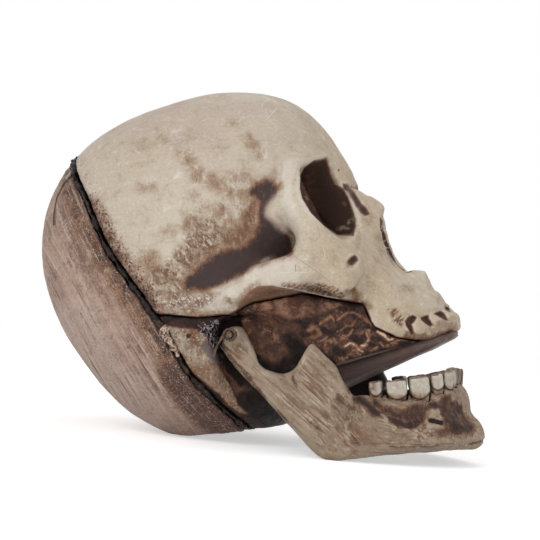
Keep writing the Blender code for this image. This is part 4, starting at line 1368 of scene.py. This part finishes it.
def vein_colour(paint, ragged, fine):
    """The reddish net of thin strands under the cheek, with dark gaps."""
    webs = paint.sum(paint.noise(0.0095, 4, 0.55, warp=1.6), -0.5)
    other = paint.sum(paint.noise(0.0050, 4, 0.6, warp=1.5), -0.5)
    strand = paint.step(paint.times(webs, webs), 0.0012, 0.0001)
    thread = paint.step(paint.times(other, other), 0.0008, 0.0001)
    lit = paint.step(paint.noise(0.010, 6, 0.7), 0.48, 0.60)
    broken = paint.sum(paint.wide(ragged), paint.wide(fine), 0.6)
    drawn = paint.times("strand", paint.sum(0.2, broken, 0.8))
    return paint.layered(
        pitch,
        (brown_deep, ragged, 0.42, 0.62),
        (brown_glow, paint.times(lit, 0.6)),
        (ember, paint.times(thread, paint.sum(0.1, lit, 0.4))),
        (rust_light, paint.times(strand, paint.sum(0.08, lit, 0.6))),
        (pitch, "gap", 0.2, 0.9, 0.9),
        (plum_dark, fine, 0.54, 0.64, 0.7),
        (ember, drawn, 0.05, 0.6, 0.9),
        (rust_light, drawn, 0.4, 0.95, 0.8),
        (rust_pale, drawn, 0.75, 1.15))


def base_ground(paint, ragged, fine):
    """The base's dark paint, redder and lighter under the arch and behind the jaw, with painted orange
    highlights.
    """
    mud = paint.noise(0.014, 5, 0.65)
    under = paint.layered(
        brown_glow, (copper, ragged, 0.42, 0.60), (plum_brown, mud, 0.50, 0.60, 0.6),
        (plum_dark, fine, 0.52, 0.64, 0.6))
    glow = paint.layered(
        plum_brown, (ember, ragged, 0.40, 0.70), (plum_dark, fine, 0.50, 0.64, 0.7),
        (rust_light, ragged, 0.60, 0.70, 0.6))
    # Painted orange highlights.
    painted_highlight = paint.times("painted_highlight", paint.step(paint.sum(ragged, fine), 0.95, 1.15))
    veined = paint.times("veins", paint.sum(0.55, paint.wide(ragged), 0.9))
    paint.colour = paint.layered(
        pitch,
        (plum_brown, ragged, 0.42, 0.68),
        (under, "under"),
        # Reddish paint, with painted orange highlights behind the ramus.
        (glow, "glow", 0.1, 0.9, 0.9),
        (rust_light, painted_highlight, 0.05, 0.7, 0.8),
        (vein_colour(paint, ragged, fine), veined, 0.1, 0.75))


def base_paint():
    paint = Paint("base_paint", base_gloss)
    ragged = paint.noise(0.0048, 9, 0.72, warp=0.4)
    fine = paint.noise(0.0012, 4, 0.7)
    clump = paint.noise(0.009, 6, 0.65, warp=0.5)
    broad = paint.wide(ragged)
    mottle = paint.wide(paint.sum(paint.times(ragged, 0.6), fine, 0.4))
    keel = paint.layered(palate_grey, (palate_brown, ragged, 0.4, 0.65))
    mixed = paint.layered(
        cream_grey,
        (brown_light, clump, 0.44, 0.58, 0.9),
        (olive, clump, 0.48, 0.38, 0.7),
        (brown_wash, ragged, 0.48, 0.60, 0.85),
        (brown_light, "lower", 0, 1, 0.7),
        (cream_pale, fine, 0.56, 0.66, 0.5),
        (plum_brown, fine, 0.46, 0.36, 0.55))
    patch = paint.times("cream", paint.sum(0.45, mottle, 1.1))
    base_ground(paint, ragged, fine)
    paint.lay(keel, "keel", 0.35, 0.65)
    paint.lay(brown_wash, patch, 0.15, 0.5, 0.8)
    paint.lay(mixed, patch, 0.42, 0.72)
    paint.lay(grey_smear, "smear", 0.2, 0.8, 0.8)
    # Very dark in hollows: partly the base's dark paint left there, partly painted shade.
    paint.lay(very_dark_and_shade, "hollow", 0.6, 1.0, 0.7)
    # Painted shadow: very dark where shade falls behind and under the jaw.
    paint.soil_and_shade("painted_shadow", broad, ((pitch, 1), (very_dark_and_shade, 1)), 1.2)
    paint.soil_and_shade("joint", broad, ((plum_brown, 0.8), (very_dark_and_shade, 1)), 1)
    paint.lay(plum_dark, "inside")
    paint.bump(fine, 0.5, 0.0005)
    paint.bump(ragged, 0.7, 0.0014)
    return paint.finish(paint.step(ragged, 0.1, 0.9, 0.75))


def jaw_streaks(paint, size, length):
    """Brush streaks, slanting on the ramus and level along the body."""
    slanting = paint.streaks(size, length, ramus_slope)
    level = paint.streaks(size, length, border_slope)
    return paint.add("Mix", {"Factor": "level", "A": slanting, "B": level}, "Result")


def jaw_ground(paint, ragged, fine, thin):
    """The jaw's tan paint with brown brush streaks in clusters."""
    cloud = paint.noise(0.012, 4)
    broad = jaw_streaks(paint, 0.0030, 0.024)
    dense = paint.sum(thin, paint.sum(broad, "border", 0.25), 0.7)
    dense = paint.sum(dense, cloud, 0.5)
    paint.colour = paint.layered(
        jaw_tan,
        (jaw_pale, cloud, 0.38, 0.62),
        (jaw_grey, ragged, 0.46, 0.66, 0.7),
        (jaw_grey, broad, 0.50, 0.68, 0.65),
        (jaw_pale, broad, 0.46, 0.32, 0.5),
        (jaw_umber, dense, 1.05, 1.24, 0.85),
        (jaw_brown, dense, 1.24, 1.38, 0.8),
        (cream_pale, thin, 0.44, 0.32, 0.3),
        (jaw_brown, fine, 0.54, 0.68, 0.45))


def jaw_paint():
    paint = Paint("jaw_paint")
    ragged = paint.noise(0.0045, 9, 0.72)
    fine = paint.noise(0.0011, 4, 0.7)
    upright = paint.streaks(0.0016, 0.007, stroke_slope)
    streak = jaw_streaks(paint, 0.0010, 0.014)
    mottle = paint.wide(paint.sum(paint.times(ragged, 0.45), paint.sum(fine, streak, 1.2), 0.25))
    rooted = paint.wide(paint.sum(paint.times(ragged, 0.4), paint.sum(upright, fine, 0.5), 0.4))
    jaw_ground(paint, ragged, fine, streak)
    # Darker brown in hollows and paler on ridges: partly wash and wear, partly painted shade and
    # painted highlight.
    paint.lay(jaw_brown, "hollow", 0.55, 0.80, 0.9)
    paint.lay(jaw_pale, "hollow", 0.46, 0.30, 0.6)
    paint.soil_and_shade("stain", mottle, ((jaw_grey, 0.5), (jaw_brown, 0.85), (plum_brown, 0.7)), 1.8)
    paint.soil_and_shade("neck", mottle, ((jaw_grey, 0.5), (jaw_brown, 0.8)), 1.6)
    # Pale smears: partly chalky paint, partly painted highlight.
    paint.lay(jaw_chalk_and_highlight, "pale", 0, 1, 0.75)
    dark_tones = ((jaw_umber, 0.85), (jaw_brown, 0.95), (plum_dark, 0.95))
    paint.soil_and_shade("dark", rooted, dark_tones, 1.2, 0.1, 1.15)
    specks = paint.times("dark", paint.step(rooted, 0.22, 0.02))
    paint.lay(jaw_pale, paint.times(specks, 0.5))
    paint.lay(plum_dark, "gum", 0.25, 0.8, 0.95)
    # Painted shade in the shallow hole.
    paint.lay(pitch, "hole", 0.2, 0.8)
    paint.lay(pitch, "inside")
    paint.draw(0.9, jaw_brown)
    paint.bump(streak, 0.5, 0.0005)
    paint.bump(fine, 0.35, 0.0004)
    paint.bump(paint.times("dark", rooted), 0.8, -0.0012)
    return paint.finish(0.58)


def tooth_paint():
    paint = Paint("tooth_paint")
    ragged = paint.noise(0.003, 7, 0.7)
    upright = paint.streaks(0.0008, 0.006, stroke_slope)
    broad = paint.wide(ragged)
    gum = paint.layered(jaw_tan, (jaw_brown, ragged, 0.42, 0.60))
    paint.colour = paint.layered(tooth_cream, (tooth_pale, ragged, 0.38, 0.66))
    paint.lay(faint_brown, upright, 0.54, 0.70, 0.5)
    paint.lay(faint_brown, paint.noise(0.0007, 3), 0.58, 0.75, 0.4)
    paint.soil_and_shade("neck", broad, ((faint_brown, 0.8), (brown_light, 0.8), (brown_wash, 0.9)), 1.2)
    # Darker brown in hollows: partly the wash, partly painted shade.
    paint.lay(brown_wash, "hollow", 0.6, 0.95, 0.8)
    paint.soil_and_shade("top", broad, ((faint_brown, 0.6), (plum_brown, 0.9)), 1.2)
    rear = paint.times("rear", paint.step(broad, 0.1, 0.7))
    paint.lay(brown_wash, paint.times(rear, 0.9))
    paint.lay(brown_wash, "foot", 0.400, 0.470, 0.8)
    paint.lay(plum_dark, "foot", 0.460, 0.480)
    paint.lay(gum, "foot", 0.510, 0.530)
    paint.lay(plum_brown, "inside")
    paint.bump(upright, 0.25, 0.0003)
    return paint.finish(0.45)


def palate_paint():
    paint = Paint("palate_paint")
    brushed = paint.streaks(0.0016, 0.030, palate_slope)
    paint.colour = paint.layered(
        palate_grey,
        (palate_brown, paint.noise(0.012, 6, 0.65), 0.35, 0.65),
        (plum_dark, brushed, 0.5, 0.7, 0.5),
        (grey_smear, paint.noise(0.0012, 3), 0.62, 0.75, 0.3))
    paint.bump(brushed, 0.2, 0.0003)
    return paint.finish(0.45)


def bead_paint():
    paint = Paint("bead_paint")
    ragged = paint.noise(0.0035, 8, 0.72)
    fine = paint.noise(0.0010, 4, 0.7)
    torn = paint.layered(plum_brown, (rust_pale, fine, 0.44, 0.54), (chalk, fine, 0.58, 0.66, 0.9))
    paint.colour = paint.layered(
        very_dark_and_shade,
        (plum_brown, ragged, 0.50, 0.66),
        (brown_wash, ragged, 0.60, 0.72, 0.8),
        (grey_smear, fine, 0.60, 0.70, 0.7),
        # Darkest in hollows: partly the glue's own colour, partly painted shade.
        (very_dark_and_shade, "hollow", 0.55, 0.8),
        (torn, "chunk", 0.3, 0.7))
    paint.bump(fine, 0.6, 0.0006)
    paint.bump(ragged, 0.6, 0.0012)
    return paint.finish(paint.step(ragged, 0.1, 0.9, 0.8))


def steel_paint():
    paint = Paint("steel_paint")
    grain = paint.noise(0.0010, 4, 0.7)
    paint.colour = paint.layered(steel_rust, (steel_brown, grain, 0.42, 0.58))
    paint.shader.inputs["Metallic"].default_value = rusty_metal
    paint.bump(grain, 0.3, 0.0002)
    return paint.finish(0.5)


def thread_paint():
    """Rusty where the tie is wound, and pale with dark patches on its loose ends."""
    paint = Paint("thread_paint")
    patchy = paint.noise(0.0016, 4, 0.7)
    wound = paint.layered(steel_brown, (steel_rust, patchy, 0.42, 0.60))
    loose = paint.layered(
        thread_pink, (thread_grey, patchy, 0.44, 0.52), (plum_dark, patchy, 0.52, 0.60))
    paint.colour = paint.mix("loose", wound, loose)
    paint.bump(patchy, 0.3, 0.0002)
    return paint.finish(0.42)


def add_lamp(name, place, size, power):
    data = bpy.data.lights.new(name, "AREA")
    data.shape = "DISK"
    data.size = size
    data.energy = power
    lamp = bpy.data.objects.new(name, data)
    lamp.location = place
    lamp.rotation_euler = (view_aim - Vector(place)).to_track_quat("-Z", "Y").to_euler()
    bpy.context.scene.collection.objects.link(lamp)


def white_to_camera(tree, strength):
    """A share of strength on what the camera, a mirror or clear glass shows, and 0 elsewhere."""
    path = tree.nodes.new("ShaderNodeLightPath")
    seen = path.outputs["Is Camera Ray"]
    for name in ("Is Glossy Ray", "Is Transmission Ray"):
        either = tree.nodes.new("ShaderNodeMath")
        either.operation = "MAXIMUM"
        tree.links.new(seen, either.inputs[0])
        tree.links.new(path.outputs[name], either.inputs[1])
        seen = either.outputs[0]
    share = tree.nodes.new("ShaderNodeMath")
    share.operation = "MULTIPLY"
    share.inputs[1].default_value = strength
    tree.links.new(seen, share.inputs[0])
    return share.outputs[0]


def add_floor():
    """A round pale floor that keeps the object's shadow and otherwise looks white."""
    bm = bmesh.new()
    bmesh.ops.create_circle(bm, cap_ends=True, segments=floor_sides, radius=floor_radius)
    mesh = bpy.data.meshes.new("floor")
    bm.to_mesh(mesh)
    bm.free()
    floor = new_object("floor", mesh)
    material = bpy.data.materials.new("floor")
    material.use_nodes = True
    tree = material.node_tree
    shader = tree.nodes["Principled BSDF"]
    shader.inputs["Base Color"].default_value = floor_grey
    shader.inputs["Roughness"].default_value = 1
    shader.inputs["Specular IOR Level"].default_value = 0
    white = tree.nodes.new("ShaderNodeEmission")
    both = tree.nodes.new("ShaderNodeAddShader")
    tree.links.new(white_to_camera(tree, floor_white), white.inputs["Strength"])
    tree.links.new(shader.outputs[0], both.inputs[0])
    tree.links.new(white.outputs[0], both.inputs[1])
    tree.links.new(both.outputs[0], tree.nodes["Material Output"].inputs["Surface"])
    mesh.materials.append(material)


def add_world():
    world = bpy.data.worlds.new("studio")
    bpy.context.scene.world = world
    world.use_nodes = True
    tree = world.node_tree
    light = tree.nodes["Background"]
    light.inputs["Color"].default_value = (1, 1, 1, 1)
    light.inputs["Strength"].default_value = sky_light
    white = tree.nodes.new("ShaderNodeBackground")
    white.inputs["Color"].default_value = (1, 1, 1, 1)
    white.inputs["Strength"].default_value = 1
    mix = tree.nodes.new("ShaderNodeMixShader")
    tree.links.new(white_to_camera(tree, 1), mix.inputs["Fac"])
    tree.links.new(light.outputs[0], mix.inputs[1])
    tree.links.new(white.outputs[0], mix.inputs[2])
    tree.links.new(mix.outputs[0], tree.nodes["World Output"].inputs["Surface"])


def add_studio():
    """A pale floor, a white world and three soft lamps."""
    bpy.context.scene.view_settings.view_transform = "Standard"
    add_world()
    add_floor()
    for name, place, size, power in lamps:
        add_lamp(name, place, size, power)


def dress(obj, body, material):
    obj.data.materials.clear()
    obj.data.materials.append(material)
    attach(obj, body)


# The skins: name, CAD node, grain, body, slot, how it is worked and painted, and finer areas.
skins = (
    ("face_skin", "face_shell", face_grain, "skull", "bone", work_face, bone_paint,
     (face_front, tooth_rows)),
    ("rear_skin", "rear_shell", skin_grain, "skull", "stained_bone", work_rear, rear_paint, ()),
    ("base_skin", "base_shell", skin_grain, "skull", "dark_base", work_base, base_paint,
     (base_veins,)),
    ("palate_skin", "palate_plate", skin_grain, "skull", "palate", work_palate, palate_paint, ()),
    ("bead_skin", "seam_bead", jaw_grain, "skull", "adhesive", work_bead, bead_paint, ()),
    ("jaw_skin", "mandible", jaw_grain, "jaw", "jaw_bone", work_jaw, jaw_paint, ()),
)


def add_skins():
    """A sculpted, painted skin for each moulded node."""
    for name, node, grain, body, slot, work, paint, finer_areas in skins:
        skin = worked_skin(name, node, grain, skin_passes)
        for area in finer_areas:
            refine(skin, area)
        work(Form(skin))
        dress(skin, body, paint())


def add_crowns():
    """The lower teeth, each worked from its CAD crown."""
    paint = tooth_paint()
    for node in sorted(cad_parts):
        if any(kind in node for kind in tooth_kinds):
            name = node.replace("_right", "_crown_right").replace("_left", "_crown_left")
            crown = worked_skin(name, node, tooth_grain, crown_passes)
            work_crown(Form(crown))
            dress(crown, "jaw", paint)


def finish_steel():
    paint = steel_paint()
    for node in ("hinge_pin_right", "hinge_pin_left"):
        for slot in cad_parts[node].material_slots:
            slot.material = paint


def add_pieces():
    add_skins()
    add_crowns()
    add_ties()
    finish_steel()


add_camera()
add_studio()
add_pieces()
